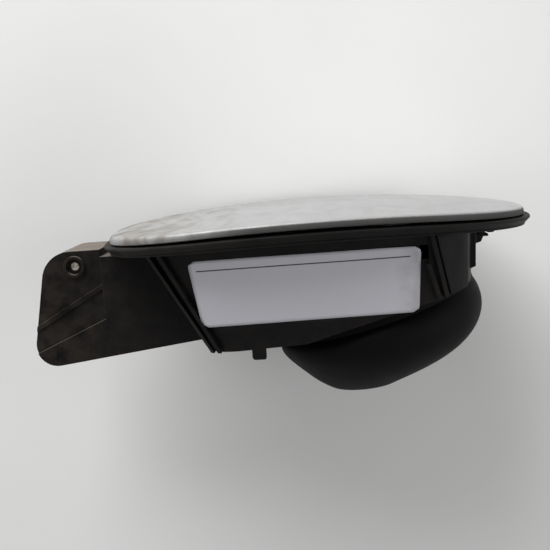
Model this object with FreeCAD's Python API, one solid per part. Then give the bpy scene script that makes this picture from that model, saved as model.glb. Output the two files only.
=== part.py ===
"""Fuel filler door: a painted door on a gooseneck hinge over a moulded filler pocket.

Frame: millimetres, +Z out of the car body, +X from the hinge end to the lock end.
The origin is at the middle of the rim, level with the middle of the seal's edge at the two ends.
"""

import math
import os

import FreeCAD
import Part

V = FreeCAD.Vector
X_DIR = V(1, 0, 0)
Z_DIR = V(0, 0, 1)

# Distance within which two places count as one
NEAR = 0.001

# Rim outline, the outer edge of the seal seen from outside
RIM_HINGE_END = 94.0
RIM_LOCK_END = 94.0
RIM_HALF_WIDTH = 75.5
HINGE_END_R = 158.0
LOCK_END_R = 86.0
SIDE_R = 225.0
SIDE_CENTRE_X = -16.0
HINGE_CORNER_SHARE = 0.69
LOCK_CORNER_SHARE = 0.85
HINGE_CORNER_R = HINGE_CORNER_SHARE * RIM_HALF_WIDTH
LOCK_CORNER_R = LOCK_CORNER_SHARE * RIM_HALF_WIDTH

# Reach of cutting bodies, well past the whole part
REACH = 3 * RIM_HALF_WIDTH
CROWN_REACH = 0.4 * RIM_HALF_WIDTH

# Crown of the car body side, radii along and across the door
SEAL_CROWN_R = 920.0
DOOR_CROWN_R = 745.0
CROSS_CROWN_R = 2500.0
CROWN_HALF_ANGLE = 15.0

# Rubber rim seal
SEAL_EDGE_Z = 1.0
SEAL_BEVEL = 3.0
SEAL_GRIP = 9.0
SEAL_JAW = 0.9
SEAL_ROUND = 0.4

# Moulded pocket
FLANGE_INSET = 3.5
FLANGE_THICK = 1.9
SEAT_CLEARANCE = 0.1
WALL = 2.2
TUB_HINGE_INSET = 21.6
TUB_LOCK_INSET = 26.6
TUB_LOCK_BOW = 9.9
TUB_SIDE_INSET = 18.0
TUB_HINGE_X = RIM_HINGE_END - TUB_HINGE_INSET
TUB_LOCK_X = RIM_LOCK_END - TUB_LOCK_INSET
TUB_LOCK_CORNER_X = TUB_LOCK_X - TUB_LOCK_BOW
TUB_HALF_WIDTH = RIM_HALF_WIDTH - TUB_SIDE_INSET
HINGE_WALL_DRAFT = 27.6
SIDE_WALL_DRAFT = 12.0
LOCK_WALL_DRAFT = 1.5
TUB_HINGE_CORNER_R = 15.0
TUB_LOCK_CORNER_R = 22.0
TUB_TOP_Z = 12.0
TUB_LOW_Z = -60.0
FLOOR_KNEE_X = -7.4
FLOOR_KNEE_Z = -43.4
HINGE_FLOOR_SLOPE = 2.5
LOCK_FLOOR_SLOPE = 16.0

# Hinge box at the left of the pocket
BOX_HALF_WIDTH = 20.0
BOX_ROOF_Z = -1.5
BOX_STEP_X = -96.0
BOX_STEP_Z = -4.6
BOX_END_X = -127.6
BOX_END_Z = -40.0
BOX_END_SLOPE = 10.7
BOX_FLOOR_X = -86.3
BOX_FLOOR_Z = -48.3
BOX_FLOOR_SLOPE = 7.1
BOX_INSIDE_X = -42.0
BOX_UPPER_R = 13.0
BOX_LOWER_R = 9.5
CHIMNEY_END_X = -58.0

# Ribs, hooks and recess on the outside of the pocket
RIB_OUT = 2.4
RIB_GAP = 0.4
RIB_THICK = 1.7
OUTER_RIB_X = -70.8
OUTER_RIB_LEAN = 27.6
INNER_RIB_X = -65.8
INNER_RIB_LEAN = 25.7
SHORT_RIB_X = 38.6
SHORT_RIB_LEAN = 17.0
SHORT_RIB_TOP = -12.0
PANEL_OUT = 1.2
PANEL_TOP = -1.0
PANEL_X = 47.0
PANEL_END_X = 60.6
PANEL_RIB_X = 44.0
PANEL_RIB_LEAN = 12.6
LOCK_RIB_Y = 33.0
LOCK_RIB_THICK = 2.2
LOCK_RIB_OUT = 2.0
LOCK_RIB_LOW = -16.0
LOCK_RIB_END = -21.0
WINDOW_X = 40.2
WINDOW_WIDTH = 3.6
WINDOW_TOP = -4.4
WINDOW_HEIGHT = 6.0
STUB_X = -29.9
STUB_WIDTH = 5.8
STUB_DROP = 4.3
STUB_THICK = 3.2
STUB_ROUND = 1.4
FACE_RECESS = 1.0
RECESS_X = -95.7
RECESS_Z = -32.4
RECESS_SLOPE = 23.4
BOX_RIB_SLOPE = 29.2
BOX_RIB_Z = -15.4
BOX_RIB_THICK = 2.2
BOSS_OUT = 0.6
HOOK_Y = 13.0
HOOK_WIDTH = 9.0
HOOK_REACH = 6.6
HOOK_TOP = -6.0
HOOK_HEIGHT = 4.2
HOOK_LIP = 1.0
HOOK_STEP = 2.2
LOCK_PAD = 2.3
LOCK_PAD_RIM = 0.6

# Hinge
PIVOT_X = -107.5
PIVOT_Z = -8.3
PIN_R = 2.0
PIN_RUNNING_CLEARANCE = 0.05
HUB_R = 4.0
HUB_FLAT = 3.5
ARM_HALF_WIDTH = 14.0
ARM_INNER_R = 30.4
ARM_OUTER_R = 38.0
ARM_LEG_ANGLE = -101.0
ARM_LEG_THICK = 6.2
ARM_FOOT_END_X = -28.0
ARM_FOOT_THICK = 4.2
ARM_RIB = 1.8
ARM_WEB = 3.0
ARM_SLOT_X = -81.0
ARM_SLOT_END_X = -40.0
ARM_SIDE_GAP = 0.4
ARM_POCKETS = 5
ARM_BEND_R = 4.5
ARM_HEEL_R = 2.0
ARM_EDGE_R = 1.0
BOSS_R = 4.7
BOSS_BORE_R = 3.5
PIN_RECESS = 2.6
PIN_CHAMFER = 0.4

# Leaf spring that holds the door at either end of its swing
LEAF_THICK = 0.5
LEAF_HALF_WIDTH = 6.0
LEAF_GAP = 0.15
LEAF_FOOT_X = -119.5
LEAF_FOOT_Z = -32.0
LEAF_SLOT_CLEARANCE = 0.05
LEAF_SIDE_CLEARANCE = 0.3
LEAF_HUB_CLEARANCE = 0.8
LEAF_TOP_REACH = 2.2
LEAF_BEND_DROP = 2.5
LEAF_FOOT_LENGTH = 7.0
LEAF_FOOT_LEAN = 1.9
LEAF_BLOCK_DROP = 1.0
LEAF_BLOCK_HEIGHT = 7.5
LEAF_BLOCK_FRONT = 1.6
LEAF_BLOCK_SIDE = 2.0

# Neck boot: round sections from below its collar to its mouth, each with its own tilt
NECK_X = 25.3
SPIGOT_R = 41.8
SPIGOT_WALL = 2.2
SPIGOT_LENGTH = 4.0
BOOT_WALL = 2.0
BOWL_X = (26.5, 27.4, 25.9, 21.9, 17.4)
BOWL_Z = (-46.0, -53.2, -61.2, -68.0, -72.4)
BOWL_SHARE = (1.0615, 0.978, 0.795, 0.553)
BOWL_TILT = (11.1, 9.2, 7.5, 6.7, 3.0)
BOWL_FACE = (5.0, 28.0, 48.0, 62.0, 66.0)
MOUTH_R = 13.5
MOUTH_LIP = 2.2
CUFF_LENGTH = 9.0

# Door
DOOR_INSET = 2.5
DOOR_GAP = 0.4
DOOR_DEPTH = 3.1
DOOR_ROLL_R = 2.0
SKIN = 0.9
HEM = 7.5
PANEL = 0.8
PANEL_CLEARANCE = 0.05
PANEL_EDGE_GAP = 0.4
DISH_INSET = 24.0
DISH_RUN = 4.0
DISH_RISE = 12.0
DISH_Z = 2.2

# Fixings of the arm
SCREW_X = (-54.0, -36.0)
SCREW_R = 2.5
SCREW_HOLE_R = 2.75
SCREW_HEAD_R = 4.6
SCREW_HEAD = 3.0
SCREW_HEAD_ROUND = 1.2
SCREW_TIP = 0.4
SOCKET_R = 1.7
SOCKET_DEPTH = 1.8
NUT_R = 4.6
NUT_HEIGHT = 3.0

# Lock
LOCK_Z = -9.0
LOCK_BORE_R = 3.6
BUSH_R = 4.6
BUSH_FLANGE_R = 6.6
BUSH_FLANGE = 1.6
BUSH_ROUND = 0.6
BUSH_TAIL = 0.8
CATCH_GAP = 2.4
CATCH_EYE_CLEARANCE = 0.6
CATCH_THICK = 3.0
CATCH_HALF_WIDTH = 7.0
GUSSET_RUN = 7.0
GUSSET_DROP = 10.0
GUSSET_HALF = 1.2

# Cap holder on the inside of the door
HOLDER_X = 6.0
HOLDER_LENGTH = 24.0
HOLDER_HALF_WIDTH = 9.0
HOLDER_BASE = 1.8
HOLDER_FIN = 2.4
HOLDER_DROP = 12.0
HOLDER_NOTCH_R = 4.0
HOLDER_MOUTH_SHARE = 0.8
HOLDER_NOTCH_SHARE = 0.6
HOLDER_FIN_INSET = 2.0
HOLDER_FIN_TAPER = 2.0
HOLDER_FIN_R = 3.0
PEG_TAIL = 2.0
PEG_R = 2.0
PEG_SPACING = 15.0

# Rivets of the lock catch
RIVET_X = 50.0
RIVET_Y = 4.4
RIVET_R = 1.6
RIVET_HEAD_R = 2.8
RIVET_HEAD = 1.2
RIVET_ROUND = 0.6
CATCH_FOOT = 2.5
CATCH_FOOT_X = 44.0

# Stop buffers
BUFFER_SHARE = 0.29
BUFFER_INSET = 13.8
BUFFER_R = 3.6
BUFFER_STEM_R = 2.0
BUFFER_GAP = 0.55
BUFFER_SEAT = 0.35
BUFFER_ROUND = 0.6
BARB_OUT = 0.9
BARB_IN = 0.5
BARB_LENGTH = 3.4


def sag_height(x, y, top, radius, cross):
    """Height of a crowned surface over the point x, y."""
    ring = cross - radius + math.sqrt(radius * radius - x * x)
    return top - cross + math.sqrt(ring * ring - y * y)


def crown_body(top, radius, cross):
    """Solid whose upper side is the crowned surface that peaks at the height top."""
    return Part.makeTorus(cross - radius, radius, V(0, 0, top - cross), X_DIR)


def crown_sector(top, radius, cross):
    """The part of a crowned solid under its peak, with no seam across its upper side."""
    centre = V(0, 0, top - cross)
    half = CROWN_HALF_ANGLE
    solid = Part.makeTorus(cross - radius, radius, centre, X_DIR, -half, half, 2 * half)
    solid.rotate(centre, X_DIR, -half)
    return solid


SEAL_TOP = SEAL_EDGE_Z - sag_height(RIM_LOCK_END, 0, 0, SEAL_CROWN_R, CROSS_CROWN_R)


def seal_crown(drop):
    """Crown of the rim, lowered by a depth below the seal's upper side."""
    return crown_body(SEAL_TOP - drop, SEAL_CROWN_R - drop, CROSS_CROWN_R - drop)


def seal_height(x, y):
    """Height of the seal's upper side."""
    return sag_height(x, y, SEAL_TOP, SEAL_CROWN_R, CROSS_CROWN_R)


DOOR_TIP = RIM_LOCK_END - DOOR_INSET
DOOR_BASE = seal_height(DOOR_TIP, 0) + DOOR_GAP - sag_height(DOOR_TIP, 0, 0, DOOR_CROWN_R, CROSS_CROWN_R)


def door_crown(rise):
    """Crown of the door, raised above the underside of its hem."""
    return crown_sector(DOOR_BASE + rise, DOOR_CROWN_R + rise, CROSS_CROWN_R + rise)


def door_height(x, y, rise):
    """Height of the door's crown over a point."""
    return sag_height(x, y, DOOR_BASE + rise, DOOR_CROWN_R + rise, CROSS_CROWN_R + rise)


def corner_centre(end_centre_x, end_reach, side_reach, turn):
    """Centre of a corner arc that runs into an end arc and a side arc, on one side of the line between."""
    side = V(SIDE_CENTRE_X, SIDE_R - RIM_HALF_WIDTH, 0)
    across = V(end_centre_x, 0, 0) - side
    span = across.Length
    along = (side_reach * side_reach - end_reach * end_reach + span * span) / (2 * span)
    height = math.sqrt(side_reach * side_reach - along * along)
    across.normalize()
    return side + across * along + V(-across.y, across.x, 0) * height * turn


def rim_arcs():
    """Arcs of the rim outline in order: centre, radius, start angle and end angle."""
    lock = V(RIM_LOCK_END - LOCK_END_R, 0, 0)
    hinge = V(HINGE_END_R - RIM_HINGE_END, 0, 0)
    near = V(SIDE_CENTRE_X, SIDE_R - RIM_HALF_WIDTH, 0)
    lock_corner = corner_centre(lock.x, LOCK_END_R - LOCK_CORNER_R, SIDE_R - LOCK_CORNER_R, 1)
    hinge_corner = corner_centre(hinge.x, HINGE_END_R - HINGE_CORNER_R, SIDE_R - HINGE_CORNER_R, -1)
    a_lock = math.atan2(-(lock_corner.y - lock.y), lock_corner.x - lock.x)
    a_right = math.atan2(-(lock_corner.y - near.y), lock_corner.x - near.x)
    a_left = math.atan2(-(hinge_corner.y - near.y), hinge_corner.x - near.x)
    a_hinge = math.atan2(-(hinge_corner.y - hinge.y), hinge_corner.x - hinge.x)
    turn = 2 * math.pi
    far = V(near.x, -near.y, 0)
    far_lock = V(lock_corner.x, -lock_corner.y, 0)
    far_hinge = V(hinge_corner.x, -hinge_corner.y, 0)
    return [
        (lock, LOCK_END_R, -a_lock, a_lock),
        (far_lock, LOCK_CORNER_R, a_lock, a_right),
        (far, SIDE_R, a_right, a_left),
        (far_hinge, HINGE_CORNER_R, a_left, a_hinge),
        (hinge, HINGE_END_R, a_hinge, turn - a_hinge),
        (hinge_corner, HINGE_CORNER_R, turn - a_hinge, turn - a_left),
        (near, SIDE_R, turn - a_left, turn - a_right),
        (lock_corner, LOCK_CORNER_R, turn - a_right, turn - a_lock),
    ]


def rim_wire(inset, z):
    """Rim outline moved inward by the inset, at one height."""
    edges = []
    for centre, radius, start, end in rim_arcs():
        circle = Part.Circle(centre + V(0, 0, z), Z_DIR, radius - inset)
        edges.append(Part.ArcOfCircle(circle, start, end).toShape())
    return Part.Wire(edges)


def rim_prism(inset, low, high):
    """Straight prism on the rim outline."""
    return Part.Face(rim_wire(inset, low)).extrude(V(0, 0, high - low))


def prism_y(points, y0, y1):
    """Prism along Y on a polygon of x, z points."""
    corners = [V(x, y0, z) for x, z in points]
    return Part.Face(Part.makePolygon(corners + corners[:1])).extrude(V(0, y1 - y0, 0))


def box(x0, x1, y0, y1, z0, z1):
    """Rectangular block between two corners."""
    return Part.makeBox(x1 - x0, y1 - y0, z1 - z0, V(x0, y0, z0))


def rod(start, end, radius):
    """Round rod between two points."""
    return Part.makeCylinder(radius, (end - start).Length, start, end - start)


def joined(shapes):
    """One solid from several that meet."""
    first = shapes[0]
    return first.fuse(shapes[1:]).removeSplitter() if len(shapes) > 1 else first


def rounded(shape, radius, test):
    """Round the edges that a test picks."""
    edges = [edge for edge in shape.Edges if test(edge)]
    return shape.makeFillet(radius, edges) if edges else shape


def along_y(edge):
    """Whether an edge is a straight line along Y."""
    ends = [vertex.Point for vertex in edge.Vertexes]
    return len(ends) == 2 and abs(ends[0].x - ends[1].x) < NEAR and abs(ends[0].z - ends[1].z) < NEAR


def is_upright(edge):
    """Whether an edge runs from the low outline of the tub to the high one."""
    ends = [vertex.Point.z for vertex in edge.Vertexes]
    return len(ends) == 2 and abs(ends[0] - ends[1]) > TUB_TOP_Z


def at_hinge_corner(edge):
    """Whether an edge is an upright corner at the hinge end."""
    return is_upright(edge) and edge.CenterOfMass.x < 0


def at_lock_corner(edge):
    """Whether an edge is an upright corner at the lock end."""
    return is_upright(edge) and edge.CenterOfMass.x > 0


def tub_body(out):
    """Tapered body of the tub, moved outward on every wall."""
    wires = []
    for z in (TUB_TOP_Z, TUB_LOW_Z):
        near = TUB_HALF_WIDTH + z * math.tan(math.radians(SIDE_WALL_DRAFT))
        near += out / math.cos(math.radians(SIDE_WALL_DRAFT))
        left = -TUB_HINGE_X - z * math.tan(math.radians(HINGE_WALL_DRAFT))
        left -= out / math.cos(math.radians(HINGE_WALL_DRAFT))
        right = out + z * math.tan(math.radians(LOCK_WALL_DRAFT))
        corner = TUB_LOCK_CORNER_X + right
        near_edge = Part.makeLine(V(left, -near, z), V(corner, -near, z))
        bow = Part.Arc(V(corner, -near, z), V(TUB_LOCK_X + right, 0, z), V(corner, near, z)).toShape()
        far_edge = Part.makeLine(V(corner, near, z), V(left, near, z))
        left_edge = Part.makeLine(V(left, near, z), V(left, -near, z))
        wires.append(Part.Wire([near_edge, bow, far_edge, left_edge]))
    body = Part.makeLoft(wires, True, True)
    body = rounded(body, TUB_HINGE_CORNER_R + out, at_hinge_corner)
    return rounded(body, TUB_LOCK_CORNER_R + out, at_lock_corner)


def floor_line(up):
    """Bent floor line of the tub, moved up: its knee and its two slopes."""
    low = math.tan(math.radians(HINGE_FLOOR_SLOPE))
    high = math.tan(math.radians(LOCK_FLOOR_SLOPE))
    rise_low = up / math.cos(math.radians(HINGE_FLOOR_SLOPE))
    rise_high = up / math.cos(math.radians(LOCK_FLOOR_SLOPE))
    shift = (rise_low - rise_high) / (high - low)
    return FLOOR_KNEE_X + shift, FLOOR_KNEE_Z + rise_low + shift * low, low, high


def above_floor(up):
    """Block that fills everything above the tub's floor."""
    x, z, low, high = floor_line(up)
    line = [(-REACH, z - low * (REACH + x)), (x, z), (REACH, z + high * (REACH - x))]
    return prism_y(line + [(REACH, REACH), (-REACH, REACH)], -REACH, REACH)


def box_body(out):
    """Hinge box, moved outward on every wall."""
    slope = math.tan(math.radians(BOX_FLOOR_SLOPE))
    base = BOX_FLOOR_Z - slope * BOX_FLOOR_X - out / math.cos(math.radians(BOX_FLOOR_SLOPE))
    lean = math.tan(math.radians(BOX_END_SLOPE))
    end_x = BOX_END_X - out / math.cos(math.radians(BOX_END_SLOPE))
    roof = BOX_ROOF_Z + out
    step = BOX_STEP_Z + out
    roof_x = end_x + (roof - BOX_END_Z) * lean
    foot_x = (end_x + (base - BOX_END_Z) * lean) / (1 - slope * lean)
    foot_z = base + slope * foot_x
    outline = [
        (BOX_STEP_X + out, roof),
        (roof_x, roof),
        (foot_x, foot_z),
        (BOX_INSIDE_X, base + slope * BOX_INSIDE_X),
        (BOX_INSIDE_X, step),
        (BOX_STEP_X + out, step),
    ]
    body = prism_y(outline, -BOX_HALF_WIDTH - out, BOX_HALF_WIDTH + out)

    def at(edge, x, z):
        return along_y(edge) and (edge.Vertexes[0].Point - V(x, edge.Vertexes[0].Y, z)).Length < NEAR

    body = rounded(body, BOX_UPPER_R + out, lambda edge: at(edge, roof_x, roof))
    return rounded(body, BOX_LOWER_R + out, lambda edge: at(edge, foot_x, foot_z))


def leaning(tilt):
    """Direction down a neck that leans by an angle towards the lock end."""
    return V(math.sin(math.radians(tilt)), 0, -math.cos(math.radians(tilt)))


def floor_spot():
    """Middle of the neck opening on the floor's underside."""
    x, z, _, high = floor_line(0)
    return V(NECK_X, 0, z + high * (NECK_X - x))


def round_section(centre, tilt, radius):
    """Round wire across a leaning neck."""
    return Part.Wire(Part.Circle(centre, leaning(tilt), radius).toShape())


def round_wire(points, place):
    """Closed wire on u, v points, each with its own rounding radius, put in space by a function."""
    count = len(points)
    starts = []
    ends = []
    middles = []
    for index, (u, v, radius) in enumerate(points):
        here = V(u, v, 0)
        before = V(*points[index - 1][:2], 0) - here
        after = V(*points[(index + 1) % count][:2], 0) - here
        before.normalize()
        after.normalize()
        half = before.getAngle(after) / 2
        reach = radius / math.tan(half)
        starts.append(here + before * reach)
        ends.append(here + after * reach)
        inward = before + after
        if radius > 0:
            inward.normalize()
        middles.append(here + inward * (radius / math.sin(half) - radius))
    edges = []
    for index, (_, _, radius) in enumerate(points):
        if radius > 0:
            edges.append(Part.Arc(place(starts[index]), place(middles[index]), place(ends[index])).toShape())
        step = (index + 1) % count
        if (starts[step] - ends[index]).Length > NEAR:
            edges.append(Part.makeLine(place(ends[index]), place(starts[step])))
    return Part.Wire(edges)


def round_prism_y(points, y0, y1):
    """Prism along Y on a polygon of x, z, radius points."""
    wire = round_wire(points, lambda p: V(p.x, y0, p.y))
    return Part.Face(wire).extrude(V(0, y1 - y0, 0))


def sector(r0, r1, start, end, y0, y1):
    """Part of a ring about the hinge pin, between two radii and two angles in degrees."""

    def at(radius, angle):
        turn = math.radians(angle)
        return V(PIVOT_X + radius * math.cos(turn), y0, PIVOT_Z + radius * math.sin(turn))

    middle = (start + end) / 2
    outer = Part.Arc(at(r1, start), at(r1, middle), at(r1, end)).toShape()
    inner = Part.Arc(at(r0, end), at(r0, middle), at(r0, start)).toShape()
    sides = [Part.makeLine(at(r1, end), at(r0, end)), Part.makeLine(at(r0, start), at(r1, start))]
    return Part.Face(Part.Wire([outer, sides[0], inner, sides[1]])).extrude(V(0, y1 - y0, 0))


PLATE_TOP = SEAL_JAW + SEAT_CLEARANCE
PLATE_LOW = PLATE_TOP + FLANGE_THICK
SEAL_DEPTH = PLATE_LOW + SEAT_CLEARANCE + SEAL_JAW


def rim_layer(inset, low, high):
    """Crowned layer of the rim between two depths below the seal's upper side."""
    return rim_prism(inset, -CROWN_REACH, CROWN_REACH).common(seal_crown(high)).cut(seal_crown(low))


def on_seal_crown(drop):
    """Test for edges that lie on one of the rim's crowned surfaces."""

    def test(edge):
        first, last = edge.ParameterRange
        middle = edge.valueAt((first + last) / 2)
        height = sag_height(middle.x, middle.y, SEAL_TOP - drop, SEAL_CROWN_R - drop, CROSS_CROWN_R - drop)
        return abs(middle.z - height) < NEAR

    return test


def rim_seal():
    """Rubber seal with a bevelled outer edge and a groove that grips the flange."""
    ring = rim_layer(0, SEAL_DEPTH, 0)
    under = on_seal_crown(SEAL_DEPTH)
    ring = ring.makeChamfer(SEAL_BEVEL, [edge for edge in ring.Edges if under(edge)])
    ring = rounded(ring, SEAL_ROUND, on_seal_crown(0))
    slot = rim_layer(FLANGE_INSET - 2 * SEAT_CLEARANCE, SEAL_DEPTH - SEAL_JAW, SEAL_JAW)
    return ring.cut([slot, rim_prism(SEAL_GRIP, -CROWN_REACH, CROWN_REACH)])


LOCK_SEAT_X = TUB_LOCK_X - WALL - LOCK_PAD
INNER_HALF_WIDTH = BOX_HALF_WIDTH - WALL


def neck_rod(start, end, radius):
    """Round rod on the spigot's axis between two depths below the floor."""
    down = leaning(LOCK_FLOOR_SLOPE)
    return rod(floor_spot() + down * start, floor_spot() + down * end, radius)


def wall_rib(x_top, lean, side):
    """Straight rib down the outside of a side wall, leaning by an angle."""
    run = -TUB_LOW_Z * math.tan(math.radians(lean))
    right = x_top + RIB_THICK
    outline = [(x_top, 0), (right, 0), (right + run, TUB_LOW_Z), (x_top + run, TUB_LOW_Z)]
    return prism_y(outline, 0, side * REACH).common(tub_body(RIB_OUT))


def lock_rib(side):
    """Short upright rib on the lock wall near one corner, with a sloped lower end."""
    root = TUB_LOCK_CORNER_X
    tip = TUB_LOCK_X + LOCK_RIB_OUT
    outline = [(root, 0), (tip, 0), (tip, LOCK_RIB_LOW), (root, LOCK_RIB_END)]
    plate = prism_y(outline, side * (LOCK_RIB_Y - LOCK_RIB_THICK), side * LOCK_RIB_Y)
    return plate.common(tub_body(LOCK_RIB_OUT))


def floor_stub(side):
    """Small stub below the floor at one side wall, rounded at its end."""
    _, knee_z, low, _ = floor_line(0)
    floor_z = knee_z + low * (STUB_X - FLOOR_KNEE_X)
    end_z = floor_z - STUB_DROP
    outer_y = TUB_HALF_WIDTH + floor_z * math.tan(math.radians(SIDE_WALL_DRAFT))
    outline = [
        (STUB_X, floor_z + WALL / 2, 0),
        (STUB_X, end_z, STUB_ROUND),
        (STUB_X + STUB_WIDTH, end_z, STUB_ROUND / 2),
        (STUB_X + STUB_WIDTH, floor_z + WALL / 2, 0),
    ]
    return round_prism_y(outline, side * outer_y, side * (outer_y - STUB_THICK))


def side_details(side):
    """Ribs, raised panel and stub on one side wall of the tub."""
    short_zone = box(0, REACH, -REACH, REACH, TUB_LOW_Z, SHORT_RIB_TOP)
    run = -TUB_LOW_Z * math.tan(math.radians(PANEL_RIB_LEAN))
    end = PANEL_END_X
    panel = [(PANEL_X, PANEL_TOP), (end, PANEL_TOP), (end, TUB_LOW_Z), (PANEL_X + run, TUB_LOW_Z)]
    pieces = [
        wall_rib(OUTER_RIB_X, OUTER_RIB_LEAN, side),
        wall_rib(INNER_RIB_X, INNER_RIB_LEAN, side),
        wall_rib(PANEL_RIB_X, PANEL_RIB_LEAN, side),
        wall_rib(SHORT_RIB_X, SHORT_RIB_LEAN, side).common(short_zone),
        prism_y(panel, 0, side * REACH).common(tub_body(PANEL_OUT)),
        lock_rib(side),
    ]
    under_seal = seal_crown(SEAL_DEPTH + RIB_GAP)
    trimmed = [piece.common(above_floor(0)).common(under_seal) for piece in pieces]
    return trimmed + [floor_stub(side)]


def face_recess(side):
    """Shallow recess in a face of the hinge box, with the rib and the pin boss left standing."""
    y0 = side * (BOX_HALF_WIDTH - FACE_RECESS)
    y1 = side * (BOX_HALF_WIDTH + FACE_RECESS)
    left = 2 * BOX_END_X - RECESS_X
    drop = (RECESS_X - left) * math.tan(math.radians(RECESS_SLOPE))
    zone = prism_y([(RECESS_X, 0), (RECESS_X, RECESS_Z), (left, RECESS_Z - drop), (left, 0)], y0, y1)
    right = RECESS_X + BOX_RIB_THICK
    fall = (right - left) * math.tan(math.radians(BOX_RIB_SLOPE))
    low = BOX_RIB_Z - BOX_RIB_THICK
    rib = prism_y([(right, BOX_RIB_Z), (left, BOX_RIB_Z - fall), (left, low - fall), (right, low)], y0, y1)
    boss = rod(V(PIVOT_X, y0, PIVOT_Z), V(PIVOT_X, y1, PIVOT_Z), BOSS_R)
    return zone.cut(rib).cut(boss)


def pin_boss(side):
    """Boss that holds one end of the hinge pin, without its bore."""
    inner = V(PIVOT_X, side * (ARM_HALF_WIDTH + ARM_SIDE_GAP), PIVOT_Z)
    return rod(inner, V(PIVOT_X, side * (BOX_HALF_WIDTH + BOSS_OUT), PIVOT_Z), BOSS_R)


def pin_bore(side):
    """Recess over one end of the hinge pin."""
    face = BOX_HALF_WIDTH + BOSS_OUT
    end = V(PIVOT_X, side * (face + BOSS_OUT), PIVOT_Z)
    return rod(V(PIVOT_X, side * (face - PIN_RECESS), PIVOT_Z), end, BOSS_BORE_R)


def snap_hook(y):
    """Hook behind the edge of the car body opening: a thin lip over a stepped lead-in."""
    root = TUB_LOCK_X - WALL / 2
    tip = TUB_LOCK_X + HOOK_REACH
    lip = HOOK_TOP - HOOK_LIP
    low = HOOK_TOP - HOOK_HEIGHT
    outline = [
        (root, HOOK_TOP),
        (tip, HOOK_TOP),
        (tip, lip),
        (tip - HOOK_STEP, lip),
        (tip - HOOK_STEP - HOOK_LIP, low + HOOK_LIP),
        (TUB_LOCK_X, low),
        (root, low),
    ]
    return prism_y(outline, y - HOOK_WIDTH / 2, y + HOOK_WIDTH / 2)


def leaf_path():
    """Line of the leaf spring from its free end to its foot, on the side of the hub."""
    top_x = PIVOT_X - HUB_FLAT - LEAF_GAP
    return [
        V(top_x, 0, PIVOT_Z + LEAF_TOP_REACH),
        V(top_x, 0, PIVOT_Z - LEAF_BEND_DROP),
        V(LEAF_FOOT_X, 0, LEAF_FOOT_Z),
        V(LEAF_FOOT_X - LEAF_FOOT_LEAN, 0, LEAF_FOOT_Z - LEAF_FOOT_LENGTH),
    ]


def leaf_strip(grow, half_width):
    """Bent strip of the leaf spring, thickened by a clearance on both faces."""
    path = leaf_path()
    near_side = []
    far_side = []
    for index, point in enumerate(path):
        before = path[max(index - 1, 0)]
        after = path[min(index + 1, len(path) - 1)]
        run = after - before
        run.normalize()
        left = V(run.z, 0, -run.x)
        near_side.append(point - left * grow)
        far_side.append(point + left * (LEAF_THICK + grow))
    outline = [(p.x, p.z) for p in near_side + far_side[::-1]]
    return prism_y(outline, -half_width, half_width)


def leaf_block():
    """Moulded block on the box's end wall with the slot that holds the leaf's foot."""
    top = LEAF_FOOT_Z - LEAF_BLOCK_DROP
    front = LEAF_FOOT_X + LEAF_BLOCK_FRONT
    half = LEAF_HALF_WIDTH + LEAF_BLOCK_SIDE
    block = box(-REACH, front, -half, half, top - LEAF_BLOCK_HEIGHT, top)
    return block.common(box_body(-WALL / 2))


def buffer_spot(side):
    """Where a stop buffer stands on the flange, inside a lock corner of the rim."""
    centre, radius, start, end = rim_arcs()[1]
    turn = start + (end - start) * BUFFER_SHARE
    reach = radius - BUFFER_INSET
    return centre.x + reach * math.cos(turn), side * (centre.y + reach * math.sin(turn))


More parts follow.
